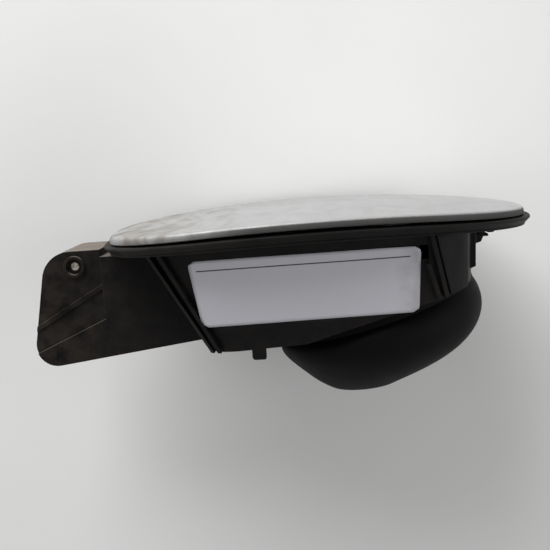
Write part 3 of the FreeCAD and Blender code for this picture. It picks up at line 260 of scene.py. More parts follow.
@dataclass(frozen=True)
class MouldedPlastic(Finish):
    """Injection moulded black plastic with a fine spark grain, rubbed grey on its edges and dusty in its corners."""

    base: str = "#09090A"
    faded: str = "#121112"
    dust: str = "#4A423A"
    settled: str = "#93897F"
    rub: str = "#5B5751"
    grain_mm: float = 0.8
    edge_mm: float = 0.5
    dust_x: tuple[float, float] = (-0.075, -0.128)
    settled_x: tuple[float, float] = (-0.082, -0.094)
    dust_cover: float = 0.62
    shine: float = 0.08
    cloud_mm: float = 26.0
    dust_mm: float = 9.0
    # rubbed lines 0.4 mm wide are drawn at 0.9 mm so that they show
    rub_mm: tuple[float, float, float] = (34.0, 20.0, 0.9)
    rub_turn: float = 33.0

    def paint(self, tree: bpy.types.NodeTree, spot: bpy.types.NodeSocket, shader: bpy.types.Node) -> None:
        """Mixes plastic, faded patches, dust and rubbed streaks over the moulded grain.

        Args:
            tree: Node tree of the material.
            spot: Object coordinates.
            shader: Principled shader of the material.
        """
        x = wire(tree, "ShaderNodeSeparateXYZ", {0: spot}, "X")
        up = wire(tree, "ShaderNodeSeparateXYZ", {0: wire(tree, "ShaderNodeTexCoord", out="Normal")}, "Z")
        cloud = wire(
            tree, "ShaderNodeTexNoise",
            {"Vector": spot, "Scale": per_metre(self.cloud_mm), "Detail": 5.0, "Roughness": 0.6},
        )
        fade = wire(tree, "ShaderNodeValToRGB", {0: cloud}, stops=[(0.36, 0.0), (0.7, 1.0)])
        shades = {0: fade, 6: linear(self.base), 7: linear(self.faded)}
        plastic = wire(tree, "ShaderNodeMix", shades, 2, data_type="RGBA")
        # road dust on the hinge box, most on what faces up
        lie = wire(
            tree, "ShaderNodeTexNoise",
            {"Vector": spot, "Scale": per_metre(self.dust_mm), "Detail": 6.0, "Roughness": 0.65},
        )
        cover = wire(tree, "ShaderNodeValToRGB", {0: lie}, stops=[(0.34, 0.0), (0.72, 1.0)])
        box_end = wire(
            tree, "ShaderNodeMapRange",
            {"Value": x, "From Min": self.dust_x[0], "From Max": self.dust_x[1],
             "To Min": 0.18, "To Max": 0.7},
        )
        roof = wire(
            tree, "ShaderNodeMapRange",
            {"Value": up, "From Min": 0.55, "From Max": 0.95, "To Min": 0.0, "To Max": 1.1},
        )
        where = wire(tree, "ShaderNodeMath", {0: box_end, 1: roof}, operation="MAXIMUM")
        film = wire(tree, "ShaderNodeMath", {0: cover, 1: where}, operation="MULTIPLY")
        film = wire(tree, "ShaderNodeMath", {0: film, 1: self.dust_cover}, operation="MULTIPLY")
        dusty = wire(tree, "ShaderNodeMix", {0: film, 6: plastic, 7: linear(self.dust)}, 2, data_type="RGBA")
        # paler dust has settled on the box's roof
        over_box = wire(
            tree, "ShaderNodeMapRange",
            {"Value": x, "From Min": self.settled_x[0], "From Max": self.settled_x[1],
             "To Min": 0.0, "To Max": 0.5},
        )
        still = wire(tree, "ShaderNodeMath", {0: roof, 1: over_box}, operation="MULTIPLY")
        dusty = wire(tree, "ShaderNodeMix", {0: still, 6: dusty, 7: linear(self.settled)}, 2, data_type="RGBA")
        raked = wire(
            tree, "ShaderNodeMapping",
            {"Vector": spot, "Rotation": (0, math.radians(self.rub_turn), 0),
             "Scale": tuple(per_metre(size) for size in self.rub_mm)},
        )
        rake = wire(tree, "ShaderNodeTexNoise", {"Vector": raked, "Scale": 1.0, "Detail": 1.0})
        line = wire(tree, "ShaderNodeValToRGB", {0: rake}, stops=[(0.72, 0.0), (0.84, 0.22)])
        # edges are rubbed paler where the softened normal leaves the true one
        soft = wire(tree, "ShaderNodeBevel", {"Radius": self.edge_mm * MM}, samples=6)
        true = wire(tree, "ShaderNodeNewGeometry", out="Normal")
        bend = wire(tree, "ShaderNodeVectorMath", {0: soft, 1: true}, "Value", operation="DOT_PRODUCT")
        edge = wire(tree, "ShaderNodeMapRange", {"Value": bend, "From Min": 0.97, "From Max": 0.8, "To Max": 0.55})
        rubbed = wire(tree, "ShaderNodeMath", {0: edge, 1: cover}, operation="MULTIPLY")
        wear = wire(tree, "ShaderNodeMath", {0: line, 1: rubbed}, operation="MAXIMUM")
        worn = wire(tree, "ShaderNodeMix", {0: wear, 6: dusty, 7: linear(self.rub)}, 2, data_type="RGBA")
        tree.links.new(worn, shader.inputs["Base Color"])
        shader.inputs["Specular IOR Level"].default_value = self.shine
        matt = wire(tree, "ShaderNodeMapRange", {"Value": film, "To Min": 0.46, "To Max": 0.85})
        tree.links.new(matt, shader.inputs["Roughness"])
        grain = wire(tree, "ShaderNodeTexNoise", {"Vector": spot, "Scale": per_metre(self.grain_mm), "Detail": 2.0})
        bump = wire(
            tree, "ShaderNodeBump", {"Strength": 0.25, "Distance": 0.12 * MM, "Height": grain, "Normal": soft},
        )
        tree.links.new(bump, shader.inputs["Normal"])


@dataclass(frozen=True)
class Rubber(Finish):
    """Moulded rubber: dull black, bloomed grey in patches, with pale dust specks and a soft sheen."""

    base: str = "#080808"
    bloom: str = "#3B3936"
    speck: str = "#6E695F"
    bloom_x: tuple[float, float] = (-0.02, -0.095)
    bloom_range: tuple[float, float] = (0.2, 0.9)
    rough: tuple[float, float] = (0.5, 0.78)
    cloud_mm: float = 14.0
    speck_mm: float = 13.0
    skin_mm: float = 1.4
    shine: float = 0.08

    def paint(self, tree: bpy.types.NodeTree, spot: bpy.types.NodeSocket, shader: bpy.types.Node) -> None:
        """Mixes rubber, grey bloom and specks.

        Args:
            tree: Node tree of the material.
            spot: Object coordinates.
            shader: Principled shader of the material.
        """
        x = wire(tree, "ShaderNodeSeparateXYZ", {0: spot}, "X")
        cloud = wire(
            tree, "ShaderNodeTexNoise",
            {"Vector": spot, "Scale": per_metre(self.cloud_mm), "Detail": 6.0, "Roughness": 0.62},
        )
        patch = wire(tree, "ShaderNodeValToRGB", {0: cloud}, stops=[(0.3, 0.15), (0.72, 1.0)])
        end = wire(
            tree, "ShaderNodeMapRange",
            {"Value": x, "From Min": self.bloom_x[0], "From Max": self.bloom_x[1],
             "To Min": self.bloom_range[0], "To Max": self.bloom_range[1]},
        )
        film = wire(tree, "ShaderNodeMath", {0: patch, 1: end}, operation="MULTIPLY")
        shades = {0: film, 6: linear(self.base), 7: linear(self.bloom)}
        grey = wire(tree, "ShaderNodeMix", shades, 2, data_type="RGBA")
        grit = wire(tree, "ShaderNodeTexVoronoi", {"Vector": spot, "Scale": per_metre(self.speck_mm)}, "Distance")
        dot = wire(tree, "ShaderNodeValToRGB", {0: grit}, stops=[(0.02, 0.4), (0.04, 0.0)])
        specked = wire(tree, "ShaderNodeMix", {0: dot, 6: grey, 7: linear(self.speck)}, 2, data_type="RGBA")
        tree.links.new(specked, shader.inputs["Base Color"])
        shader.inputs["Specular IOR Level"].default_value = self.shine
        matt = wire(tree, "ShaderNodeMapRange", {"Value": film, "To Min": self.rough[0], "To Max": self.rough[1]})
        tree.links.new(matt, shader.inputs["Roughness"])
        skin = wire(tree, "ShaderNodeTexNoise", {"Vector": spot, "Scale": per_metre(self.skin_mm), "Detail": 3.0})
        bump = wire(tree, "ShaderNodeBump", {"Strength": 0.2, "Distance": 0.15 * MM, "Height": skin})
        tree.links.new(bump, shader.inputs["Normal"])


@dataclass(frozen=True)
class PlatedSteel(Finish):
    """Zinc plated steel gone dull, with brown tarnish in blotches and fine turning lines."""

    metal: str = "#B3ADA3"
    tarnish: str = "#5D4B3B"
    blotch_mm: float = 2.6
    line_mm: float = 0.5
    rough: tuple[float, float] = (0.34, 0.7)

    def paint(self, tree: bpy.types.NodeTree, spot: bpy.types.NodeSocket, shader: bpy.types.Node) -> None:
        """Mixes bright plating and tarnish.

        Args:
            tree: Node tree of the material.
            spot: Object coordinates.
            shader: Principled shader of the material.
        """
        cloud = wire(tree, "ShaderNodeTexNoise", {"Vector": spot, "Scale": per_metre(self.blotch_mm), "Detail": 5.0})
        patch = wire(tree, "ShaderNodeValToRGB", {0: cloud}, stops=[(0.42, 0.0), (0.66, 1.0)])
        shades = {0: patch, 6: linear(self.metal), 7: linear(self.tarnish)}
        shade = wire(tree, "ShaderNodeMix", shades, 2, data_type="RGBA")
        tree.links.new(shade, shader.inputs["Base Color"])
        bright = wire(tree, "ShaderNodeMapRange", {"Value": patch, "To Min": 1.0, "To Max": 0.25})
        tree.links.new(bright, shader.inputs["Metallic"])
        matt = wire(tree, "ShaderNodeMapRange", {"Value": patch, "To Min": self.rough[0], "To Max": self.rough[1]})
        tree.links.new(matt, shader.inputs["Roughness"])
        lines = wire(tree, "ShaderNodeTexNoise", {"Vector": spot, "Scale": per_metre(self.line_mm), "Detail": 2.0})
        bump = wire(tree, "ShaderNodeBump", {"Strength": 0.2, "Distance": 0.08 * MM, "Height": lines})
        tree.links.new(bump, shader.inputs["Normal"])


@dataclass(frozen=True)
class LabelPaper(Finish):
    """Coated white paper: smooth, faintly cool, creased and soiled at one corner, with one printed rule."""

    paper: str = "#C6C6CD"
    soil: str = "#9C9C9E"
    ink: str = "#222226"
    rule_u: tuple[float, float] = (0.03, 0.955)
    rule_v: tuple[float, float] = (0.842, 0.86)
    soil_mm: float = 7.0
    crease_mm: float = 16.0

    def paint(self, tree: bpy.types.NodeTree, spot: bpy.types.NodeSocket, shader: bpy.types.Node) -> None:
        """Mixes paper, soil and the printed rule over the creases.

        Args:
            tree: Node tree of the material.
            spot: Object coordinates.
            shader: Principled shader of the material.
        """
        flat = wire(tree, "ShaderNodeTexCoord", out="UV")
        split = wire(tree, "ShaderNodeSeparateXYZ", {0: flat})
        u, v = split, split.node.outputs[1]
        blot = wire(tree, "ShaderNodeTexNoise", {"Vector": spot, "Scale": per_metre(self.soil_mm), "Detail": 5.0})
        corner = wire(
            tree, "ShaderNodeMapRange",
            {"Value": u, "From Min": 0.84, "From Max": 1.0, "To Min": 0.06, "To Max": 1.0},
        )
        dirt = wire(tree, "ShaderNodeMath", {0: blot, 1: corner}, operation="MULTIPLY")
        stain = wire(tree, "ShaderNodeValToRGB", {0: dirt}, stops=[(0.2, 0.0), (0.62, 0.7)])
        shades = {0: stain, 6: linear(self.paper), 7: linear(self.soil)}
        sheet = wire(tree, "ShaderNodeMix", shades, 2, data_type="RGBA")
        inside = 1.0
        for value, (low, high) in ((u, self.rule_u), (v, self.rule_v)):
            above = wire(tree, "ShaderNodeMath", {0: value, 1: low}, operation="GREATER_THAN")
            below = wire(tree, "ShaderNodeMath", {0: value, 1: high}, operation="LESS_THAN")
            both = wire(tree, "ShaderNodeMath", {0: above, 1: below}, operation="MULTIPLY")
            inside = wire(tree, "ShaderNodeMath", {0: inside, 1: both}, operation="MULTIPLY")
        printed = wire(tree, "ShaderNodeMix", {0: inside, 6: sheet, 7: linear(self.ink)}, 2, data_type="RGBA")
        tree.links.new(printed, shader.inputs["Base Color"])
        gloss = wire(tree, "ShaderNodeMapRange", {"Value": stain, "To Min": 0.42, "To Max": 0.7})
        tree.links.new(gloss, shader.inputs["Roughness"])
        crease = wire(
            tree, "ShaderNodeTexNoise",
            {"Vector": spot, "Scale": per_metre(self.crease_mm), "Detail": 2.0, "Distortion": 0.8},
        )
        bump = wire(tree, "ShaderNodeBump", {"Strength": 0.18, "Distance": 0.6 * MM, "Height": crease})
        tree.links.new(bump, shader.inputs["Normal"])


# satin silver, brown with dust at the hinge end, with painted shade on the side of its rolled edge
SILVER = CarPaint("silver car paint on steel")
# darker and flatter than outside, with little dust and no painted edge shade
PRIMED = CarPaint(
    "thin silver paint on steel", light="#A9ABAD", deep="#8F9294", dust="#8C857B", dust_cover=0.5, hem_shade_cover=0.0,
)
# near black and matt, greyer where dust lies
POCKET_PLASTIC = MouldedPlastic("black polypropylene")
# slightly paler blacks of the moving mouldings
ARM_PLASTIC = MouldedPlastic("black glass-filled nylon", base="#19191A", faded="#262627", dust_cover=0.3)
CLIP_PLASTIC = MouldedPlastic("black acetal", base="#202021", faded="#2B2B2C", dust_cover=0.2)
# off-white and a little waxy
BUSH_PLASTIC = MouldedPlastic(
    "natural nylon", base="#C9C6BC", faded="#B5B0A2", dust="#8D8576", rub="#D6D3CA", dust_cover=0.4, shine=0.5,
)
# dull black, bloomed grey at the hinge end
SEAL_RUBBER = Rubber("black seal rubber", bloom="#3D3A37")
# deeper black with hardly any bloom
BOOT_RUBBER = Rubber(
    "black boot rubber", bloom="#100F0F", bloom_x=(0.09, -0.03), bloom_range=(0.35, 0.7), shine=0.05,
)
# pale metal with brown blotches
PIN_STEEL = PlatedSteel("tarnished zinc-plated steel")
# dark blue-grey metal
SPRING_STEEL = PlatedSteel("blued spring steel", metal="#7F8389", tarnish="#4B4C50", blotch_mm=8.0)
# cool white and smooth, soiled at one end
PAPER = LabelPaper("coated label paper")


def cover(piece: bpy.types.Object, material: bpy.types.Material) -> None:
    """Gives every material slot of a piece one material.

    Args:
        piece: Mesh object to dress.
        material: Material for all of it.
    """
    if not piece.material_slots:
        piece.data.materials.append(material)
    for slot in piece.material_slots:
        slot.material = material


def new_piece(name: str, mesh: bpy.types.Mesh, body: Body) -> bpy.types.Object:
    """Puts a finished mesh in the scene as a piece of one body.

    Args:
        name: Name of the piece.
        mesh: Mesh in the model's own frame.
        body: Body that it rides on.

    Returns:
        The object, at the origin.
    """
    piece = bpy.data.objects.new(name, mesh)
    bpy.context.scene.collection.objects.link(piece)
    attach(piece, body.value)
    LOG.info("%s: %d faces on %s", name, len(mesh.polygons), body.value)
    return piece


def even_loop(corners: Sequence[Vector], count: int) -> list[Vector]:
    """Spaces points evenly round a closed line.

    Args:
        corners: Corners of the line in order.
        count: Number of points to give back.

    Returns:
        Points at equal steps along the line.
    """
    legs = [(b - a).length for a, b in zip(corners, corners[1:] + corners[:1])]
    step = sum(legs) / count
    points: list[Vector] = []
    done = 0.0
    for start, end, leg in zip(corners, corners[1:] + corners[:1], legs):
        while len(points) < count and len(points) * step < done + leg:
            points.append(start.lerp(end, (len(points) * step - done) / leg))
        done += leg
    return points


def rim_outline(seal: bpy.types.Object, inset: float, count: int = 240) -> list[Vector]:
    """Draws the rim seen from outside, moved inward.

    Args:
        seal: Node of the rim seal, whose outer edge is the rim.
        inset: Distance inside that edge.
        count: Number of points.

    Returns:
        Points of the closed line, level with the origin.
    """
    flat = [vertex.co.to_2d() for vertex in seal.data.vertices]
    rim = even_loop([flat[k] for k in convex_hull_2d(flat)], count)
    moved = []
    for k, point in enumerate(rim):
        along = (rim[(k + 2) % count] - rim[k - 2]).normalized()
        moved.append((point + Vector((-along.y, along.x)) * inset).to_3d())
    return moved


@dataclass
class SurfaceLoop:
    """Something that runs round the rim on the underside of a node."""

    title: str
    body: Body
    slot: Slot
    finish: Finish
    inset: float
    count: int
    radius: float
    below: float = 30.0 * MM

    def shape(self, tree: bpy.types.NodeTree, line: Any, normal: Any, radius: Any) -> bpy.types.NodeSocket:
        """Adds the nodes that turn the line on the surface into a solid.

        Args:
            tree: Geometry node tree.
            line: Curve on the surface.
            normal: Normal of the surface under each point of the curve.
            radius: Radius of the bead or of each item.

        Returns:
            Socket of the finished geometry.
        """
        raise NotImplementedError

    def group(self) -> bpy.types.NodeTree:
        """Builds the node tree with its named inputs.

        Returns:
            The tree: a level loop is evened out, cast up onto a surface and given its shape.
        """
        tree = bpy.data.node_groups.new(self.title, "GeometryNodeTree")
        for name, kind in (
            ("Loop", "NodeSocketGeometry"), ("Surface", "NodeSocketObject"), ("Count", "NodeSocketInt"),
            ("Radius", "NodeSocketFloat"), ("Material", "NodeSocketMaterial"),
        ):
            tree.interface.new_socket(name, in_out="INPUT", socket_type=kind)
        tree.interface.new_socket("Solid", in_out="OUTPUT", socket_type="NodeSocketGeometry")
        given = wire(tree, "NodeGroupInput", out="Loop").node.outputs
        curve = wire(tree, "GeometryNodeMeshToCurve", {"Mesh": given["Loop"]})
        even = wire(tree, "GeometryNodeResampleCurve", {"Curve": curve, "Count": given["Count"]}, mode="COUNT")
        target = wire(tree, "GeometryNodeObjectInfo", {"Object": given["Surface"]}, "Geometry")
        cast = wire(
            tree, "GeometryNodeRaycast",
            {"Target Geometry": target, "Ray Direction": (0.0, 0.0, 1.0), "Ray Length": 1.0},
        ).node.outputs
        normal = wire(tree, "GeometryNodeCaptureAttribute", {"Geometry": even}).node
        normal.capture_items.new("VECTOR", "Normal")
        tree.links.new(cast["Hit Normal"], normal.inputs["Normal"])
        lifted = wire(
            tree, "GeometryNodeSetPosition",
            {"Geometry": normal.outputs["Geometry"], "Position": cast["Hit Position"]},
        )
        solid = self.shape(tree, lifted, normal.outputs["Normal"], given["Radius"])
        whole = wire(tree, "GeometryNodeRealizeInstances", {"Geometry": solid})
        dressed = wire(tree, "GeometryNodeSetMaterial", {"Geometry": whole, "Material": given["Material"]})
        wire(tree, "NodeGroupOutput", {"Solid": dressed})
        return tree

    def build(self, outline: Sequence[Vector], surface: bpy.types.Object) -> bpy.types.Object:
        """Makes the piece from a level outline and the surface above it.

        Args:
            outline: Points of the closed line.
            surface: Node whose underside it lies on.

        Returns:
            The finished piece as a plain mesh.
        """
        mesh = bpy.data.meshes.new(self.title + "_loop")
        drop = Vector((0.0, 0.0, -self.below))
        edges = [(k, (k + 1) % len(outline)) for k in range(len(outline))]
        mesh.from_pydata([point + drop for point in outline], edges, [])
        guide = bpy.data.objects.new(self.title + "_loop", mesh)
        bpy.context.scene.collection.objects.link(guide)
        modifier = guide.modifiers.new(self.title, "NODES")
        modifier.node_group = self.group()
        values = {
            "Surface": surface, "Count": self.count, "Radius": self.radius, "Material": self.finish.build(),
        }
        for item in modifier.node_group.interface.items_tree:
            if item.in_out == "INPUT" and item.name in values:
                modifier[item.identifier] = values[item.name]
        graph = bpy.context.evaluated_depsgraph_get()
        solid = bpy.data.meshes.new_from_object(guide.evaluated_get(graph), depsgraph=graph)
        bpy.data.objects.remove(guide)
        return new_piece(self.title, solid, self.body)


@dataclass
class SweptBead(SurfaceLoop):
    """Moulded bead with a round section."""

    sides: int = 8

    def shape(self, tree: bpy.types.NodeTree, line: Any, normal: Any, radius: Any) -> bpy.types.NodeSocket:
        """Sweeps a circle along the line.

        Args:
            tree: Geometry node tree.
            line: Curve on the surface.
            normal: Not used.
            radius: Radius of the bead.

        Returns:
            Socket of the finished geometry.
        """
        circle = {"Resolution": self.sides, "Radius": radius}
        section = wire(tree, "GeometryNodeCurvePrimitiveCircle", circle, mode="RADIUS")
        swept = wire(tree, "GeometryNodeCurveToMesh", {"Curve": line, "Profile Curve": section})
        return wire(tree, "GeometryNodeSetShadeSmooth", {0: swept})


@dataclass
class WeldRow(SurfaceLoop):
    """Row of pressed spot welds."""

    rise: float = 0.16 * MM
    segments: int = 18
    rings: int = 8

    def shape(self, tree: bpy.types.NodeTree, line: Any, normal: Any, radius: Any) -> bpy.types.NodeSocket:
        """Lays a low dome at each point of the line, turned to the surface.

        Args:
            tree: Geometry node tree.
            line: Curve on the surface.
            normal: Normal of the surface under each point of the curve.
            radius: Radius of the domes.

        Returns:
            Socket of the finished geometry.
        """
        points = wire(tree, "GeometryNodeCurveToPoints", {"Curve": line}, mode="EVALUATED")
        ball = {"Segments": self.segments, "Rings": self.rings, "Radius": radius}
        dome = wire(tree, "GeometryNodeMeshUVSphere", ball)
        low = wire(tree, "GeometryNodeTransform", {"Geometry": dome, "Scale": (1.0, 1.0, self.rise / self.radius)})
        smooth = wire(tree, "GeometryNodeSetShadeSmooth", {0: low})
        turn = wire(tree, "FunctionNodeAlignRotationToVector", {"Vector": normal}, axis="Z")
        return wire(tree, "GeometryNodeInstanceOnPoints", {"Points": points, "Instance": smooth, "Rotation": turn})


@dataclass
class PaperLabel:
    """Blank paper label stuck on the pocket's near wall."""

    left_top: tuple[float, float] = (-0.0528, -0.0051)
    left_low: tuple[float, float] = (-0.0492, -0.0333)
    right_top: tuple[float, float] = (0.0408, -0.0046)
    right_low: tuple[float, float] = (0.0394, -0.0322)
    corner: float = 2.6 * MM
    thickness: float = 0.12 * MM
    lift: float = 0.7 * MM
    lift_from: float = 1.82
    lift_span: float = 0.18
    wave: float = 0.12 * MM
    sheet_share: float = 0.8
    columns: int = 60
    rows: int = 20
    probes: tuple[tuple[float, float], ...] = ((-0.03, -0.008), (0.02, -0.008), (0.0, -0.028))
    probe_y: float = -0.2

    def wall_plane(self, wall: bpy.types.Object) -> tuple[Vector, Vector]:
        """Finds the near wall of the pocket.

        Args:
            wall: The pocket's node.

        Returns:
            A point of the wall and its normal, which points to the camera's side.
        """
        tree = BVHTree.FromObject(wall, bpy.context.evaluated_depsgraph_get())
        inward = Vector((0, 1, 0))
        hits = [tree.ray_cast(Vector((x, self.probe_y, z)), inward)[0] for x, z in self.probes]
        normal = (hits[1] - hits[0]).cross(hits[2] - hits[0]).normalized()
        return hits[0], normal if normal.y < 0 else -normal

    def build(self, wall: bpy.types.Object) -> bpy.types.Object:
        """Makes the label as a thin sheet with rounded corners and one lifted corner.

        Args:
            wall: The pocket's node.

        Returns:
            The label.
        """
        point, normal = self.wall_plane(wall)
        width = self.right_top[0] - self.left_top[0]
        height = self.left_top[1] - self.left_low[1]
        mesh = bpy.data.meshes.new("paper_label")
        work = bmesh.new()
        layer = work.loops.layers.uv.new("flat")
        grid: list[list[Any]] = []
        flat: dict[Any, tuple[float, float]] = {}
        for row in range(self.rows + 1):
            line = []
            v = row / self.rows
            inset = 0.0
            edge = min(v, 1 - v) * height
            if edge < self.corner:
                inset = self.corner - math.sqrt(max(0.0, self.corner ** 2 - (self.corner - edge) ** 2))
            for column in range(self.columns + 1):
                u = inset / width + (1 - 2 * inset / width) * column / self.columns
                top = Vector(self.left_top).lerp(Vector(self.right_top), u)
                low = Vector(self.left_low).lerp(Vector(self.right_low), u)
                x, z = low.lerp(top, v)
                y = point.y - (normal.x * (x - point.x) + normal.z * (z - point.z)) / normal.y
                wave = self.wave * (1 + math.sin(9.0 * u + 2.0 * v)) / 2
                rise = self.thickness + wave + self.lift * max(0.0, u + v - self.lift_from) / self.lift_span
                vertex = work.verts.new(Vector((x, y, z)) + normal * rise)
                flat[vertex] = (u, v)
                line.append(vertex)
            grid.append(line)
        for low_line, high_line in zip(grid, grid[1:]):
            for k in range(self.columns):
                face = work.faces.new((low_line[k], low_line[k + 1], high_line[k + 1], high_line[k]))
                face.smooth = True
                for loop in face.loops:
                    loop[layer].uv = flat[loop.vert]
        work.to_mesh(mesh)
        work.free()
        piece = new_piece("paper_label", mesh, Body.POCKET)
        solid = piece.modifiers.new("sheet", "SOLIDIFY")
        solid.thickness = self.thickness * self.sheet_share
        solid.offset = -1.0
        cover(piece, PAPER.build())
        return piece


@dataclass
class PocketAssembly:
    """Fixed pocket with its seal, boot, pin, spring, bush, buffers and label."""

    nodes: Mapping[str, bpy.types.Object]
    label: PaperLabel = field(default_factory=PaperLabel)
    bead: SweptBead = field(default_factory=lambda: SweptBead(
        "seal_bead", Body.POCKET, Slot.SEAL, SEAL_RUBBER, inset=2.6 * MM, count=260, radius=0.45 * MM,
    ))

    def build(self) -> None:
        """Adds the label on the near wall and the bead under the edge of the seal."""
        self.label.build(self.nodes["filler_pocket"])
        seal = self.nodes["rim_seal"]
        self.bead.build(rim_outline(seal, self.bead.inset), seal)

    def dress(self) -> None:
        """Gives each fixed node its finish."""
        looks: dict[str, Finish] = {
            "filler_pocket": POCKET_PLASTIC,
            "rim_seal": SEAL_RUBBER,
            "neck_boot": BOOT_RUBBER,
            "hinge_pin": PIN_STEEL,
            "leaf_spring": SPRING_STEEL,
            "lock_bush": BUSH_PLASTIC,
            "stop_buffer_near": BOOT_RUBBER,
            "stop_buffer_far": BOOT_RUBBER,
        }
        dress_nodes(self.nodes, looks)


@dataclass
class DoorAssembly:
    """Swinging door with its inner panel, arm, fasteners, catch and cap holder."""

    nodes: Mapping[str, bpy.types.Object]
    welds: WeldRow = field(default_factory=lambda: WeldRow(
        "spot_welds", Body.DOOR, Slot.WELD, PRIMED, inset=21.5 * MM, count=34, radius=2.2 * MM,
    ))

    def build(self) -> None:
        """Adds the spot welds on the border of the inner panel."""
        outline = rim_outline(self.nodes["rim_seal"], self.welds.inset)
        self.welds.build(outline, self.nodes["inner_panel"])

    def dress(self) -> None:
        """Gives each swinging node its finish."""
        looks: dict[str, Finish] = {
            "door_skin": SILVER,
            "inner_panel": PRIMED,
            "hinge_arm": ARM_PLASTIC,
            "arm_screws": PIN_STEEL,
            "weld_nuts": PIN_STEEL,
            "lock_catch": CLIP_PLASTIC,
            "catch_rivets": PIN_STEEL,
            "cap_holder": CLIP_PLASTIC,
        }
        dress_nodes(self.nodes, looks)


def dress_nodes(nodes: Mapping[str, bpy.types.Object], looks: Mapping[str, Finish]) -> None:
    """Builds each finish once and gives it to its nodes.

    Args:
        nodes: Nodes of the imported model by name.
        looks: Finish of each node by name.
    """
    made = {finish: finish.build() for finish in dict.fromkeys(looks.values())}
    for name, finish in looks.items():
        cover(nodes[name], made[finish])
        LOG.info("%s: %s", name, finish.title)


@dataclass(frozen=True)
class SoftLamp:
    """Square lamp with its place, the point that it faces, its side and its power."""

    title: str
    place: tuple[float, float, float]
    aim: tuple[float, float, float]
    size: float
    watts: float

    def build(self) -> None:
        """Adds the lamp to the scene."""
        data = bpy.data.lights.new(self.title, "AREA")
        data.size, data.energy = self.size, self.watts
        lamp = bpy.data.objects.new(self.title, data)
        lamp.location = self.place
        lamp.rotation_mode = "QUATERNION"
        lamp.rotation_quaternion = (Vector(self.aim) - Vector(self.place)).to_track_quat("-Z", "Y")
        bpy.context.scene.collection.objects.link(lamp)


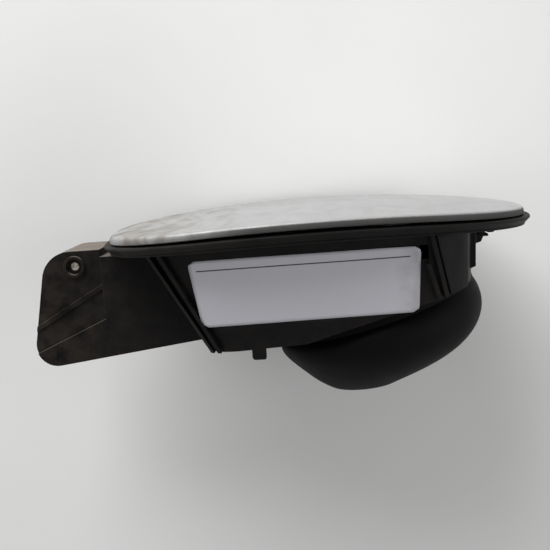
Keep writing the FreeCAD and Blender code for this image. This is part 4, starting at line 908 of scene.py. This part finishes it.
@dataclass
class Studio:
    """Pale table behind the part, soft lamps and the photograph's camera."""

    table_y: float = 0.0775
    table_half: float = 1.6
    table_colour: str = "#EDEDEC"
    table_shade: str = "#E9E9E8"
    table_cloud_mm: float = 120.0
    world_colour: str = "#E8E8E8"
    world_light: float = 0.22
    world_seen: float = 0.8
    distance: float = 0.450
    elevation: float = 5.3
    roll: float = 3.8
    focal_px: float = 990.0
    frame_px: float = 550.0
    origin_px: tuple[float, float] = (316.6, 227.6)
    sensor_mm: float = 36.0
    lamps: tuple[SoftLamp, ...] = (
        SoftLamp("key", (-0.4, -0.5, 1.0), (0.0, 0.05, 0.05), 0.9, 17.5),
        SoftLamp("left", (-1.0, -0.6, -0.1), (0.0, 0.05, -0.05), 0.8, 1.0),
        SoftLamp("right", (1.0, -0.6, -0.15), (0.1, 0.08, -0.1), 0.9, 5.4),
        SoftLamp("low", (0.3, -0.7, -0.9), (0.05, 0.08, -0.1), 0.9, 1.0),
        SoftLamp("back", (0.3, 0.9, 0.6), (0.0, 0.0, 0.0), 0.9, 3.0),
    )

    def camera(self) -> bpy.types.Object:
        """Makes the camera that sees the part as the photograph does.

        Returns:
            The camera, set as the scene's own.
        """
        tilt, lean = math.radians(self.elevation), math.radians(self.roll)
        back = Vector((0.0, -math.cos(tilt), math.sin(tilt)))
        right = (-back).cross(Vector((0, 0, 1))).normalized()
        up = right.cross(-back)
        across = right * math.cos(lean) - up * math.sin(lean)
        upright = right * math.sin(lean) + up * math.cos(lean)
        middle = self.frame_px / 2
        aside, above = self.origin_px[0] - middle, middle - self.origin_px[1]
        aim = Vector((aside / self.focal_px, above / self.focal_px, 1.0))
        turn = Vector((0, 0, 1)).rotation_difference(aim.normalized()).to_matrix()
        rows = turn @ Matrix((across, upright, -back))
        place = Matrix((rows[0], rows[1], -rows[2])).transposed().to_4x4()
        place.translation = back * self.distance
        data = bpy.data.cameras.new("photo_camera")
        data.sensor_width = self.sensor_mm
        data.lens = self.sensor_mm * self.focal_px / self.frame_px
        data.clip_start, data.clip_end = 0.01, 20.0
        camera = bpy.data.objects.new("photo_camera", data)
        camera.matrix_world = place
        bpy.context.scene.collection.objects.link(camera)
        bpy.context.scene.camera = camera
        return camera

    def table(self) -> bpy.types.Object:
        """Makes the pale table that the part lies on, seen from its upper side only.

        Returns:
            The table.
        """
        mesh = bpy.data.meshes.new("table")
        half = self.table_half
        square = ((-half, -half), (half, -half), (half, half), (-half, half))
        mesh.from_pydata([(x, self.table_y, z) for x, z in square], [], [(0, 1, 2, 3)])
        table = bpy.data.objects.new("table", mesh)
        bpy.context.scene.collection.objects.link(table)
        material = bpy.data.materials.new("matt white table top")
        material.use_nodes = True
        tree = material.node_tree
        tree.nodes.clear()
        spot = wire(tree, "ShaderNodeTexCoord", out="Object")
        scale = per_metre(self.table_cloud_mm)
        cloud = wire(tree, "ShaderNodeTexNoise", {"Vector": spot, "Scale": scale, "Detail": 3.0})
        ends = [(0.3, linear(self.table_shade)), (0.7, linear(self.table_colour))]
        shade = wire(tree, "ShaderNodeValToRGB", {0: cloud}, stops=ends)
        top = wire(tree, "ShaderNodeBsdfDiffuse", {"Color": shade})
        clear = wire(tree, "ShaderNodeBsdfTransparent")
        under = wire(tree, "ShaderNodeNewGeometry", out="Backfacing")
        surface = wire(tree, "ShaderNodeMixShader", {0: under, 1: top, 2: clear})
        wire(tree, "ShaderNodeOutputMaterial", {"Surface": surface})
        cover(table, material)
        return table

    def world(self) -> None:
        """Sets the even light of the room."""
        world = bpy.data.worlds.new("room")
        bpy.context.scene.world = world
        world.use_nodes = True
        tree = world.node_tree
        tree.nodes.clear()
        rays = wire(tree, "ShaderNodeLightPath", out="Is Camera Ray").node.outputs
        seen = rays["Is Camera Ray"]
        for ray in ("Is Glossy Ray", "Is Transmission Ray"):
            seen = wire(tree, "ShaderNodeMath", {0: seen, 1: rays[ray]}, operation="MAXIMUM")
        strength = wire(
            tree, "ShaderNodeMapRange", {"Value": seen, "To Min": self.world_light, "To Max": self.world_seen},
        )
        light = wire(tree, "ShaderNodeBackground", {"Color": linear(self.world_colour), "Strength": strength})
        wire(tree, "ShaderNodeOutputWorld", {"Surface": light})

    def build(self) -> None:
        """Sets up table, lamps, room light and camera."""
        self.table()
        self.world()
        for lamp in self.lamps:
            lamp.build()
        self.camera()
        bpy.context.scene.view_settings.view_transform = "Standard"


def main() -> None:
    """Builds and dresses the sub-assemblies in order, then the studio."""
    logging.basicConfig(level=logging.INFO, format="%(name)s: %(message)s")
    pocket = PocketAssembly(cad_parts)
    pocket.build()
    pocket.dress()
    door = DoorAssembly(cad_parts)
    door.build()
    door.dress()
    Studio().build()


if __name__ == "__main__":
    main()
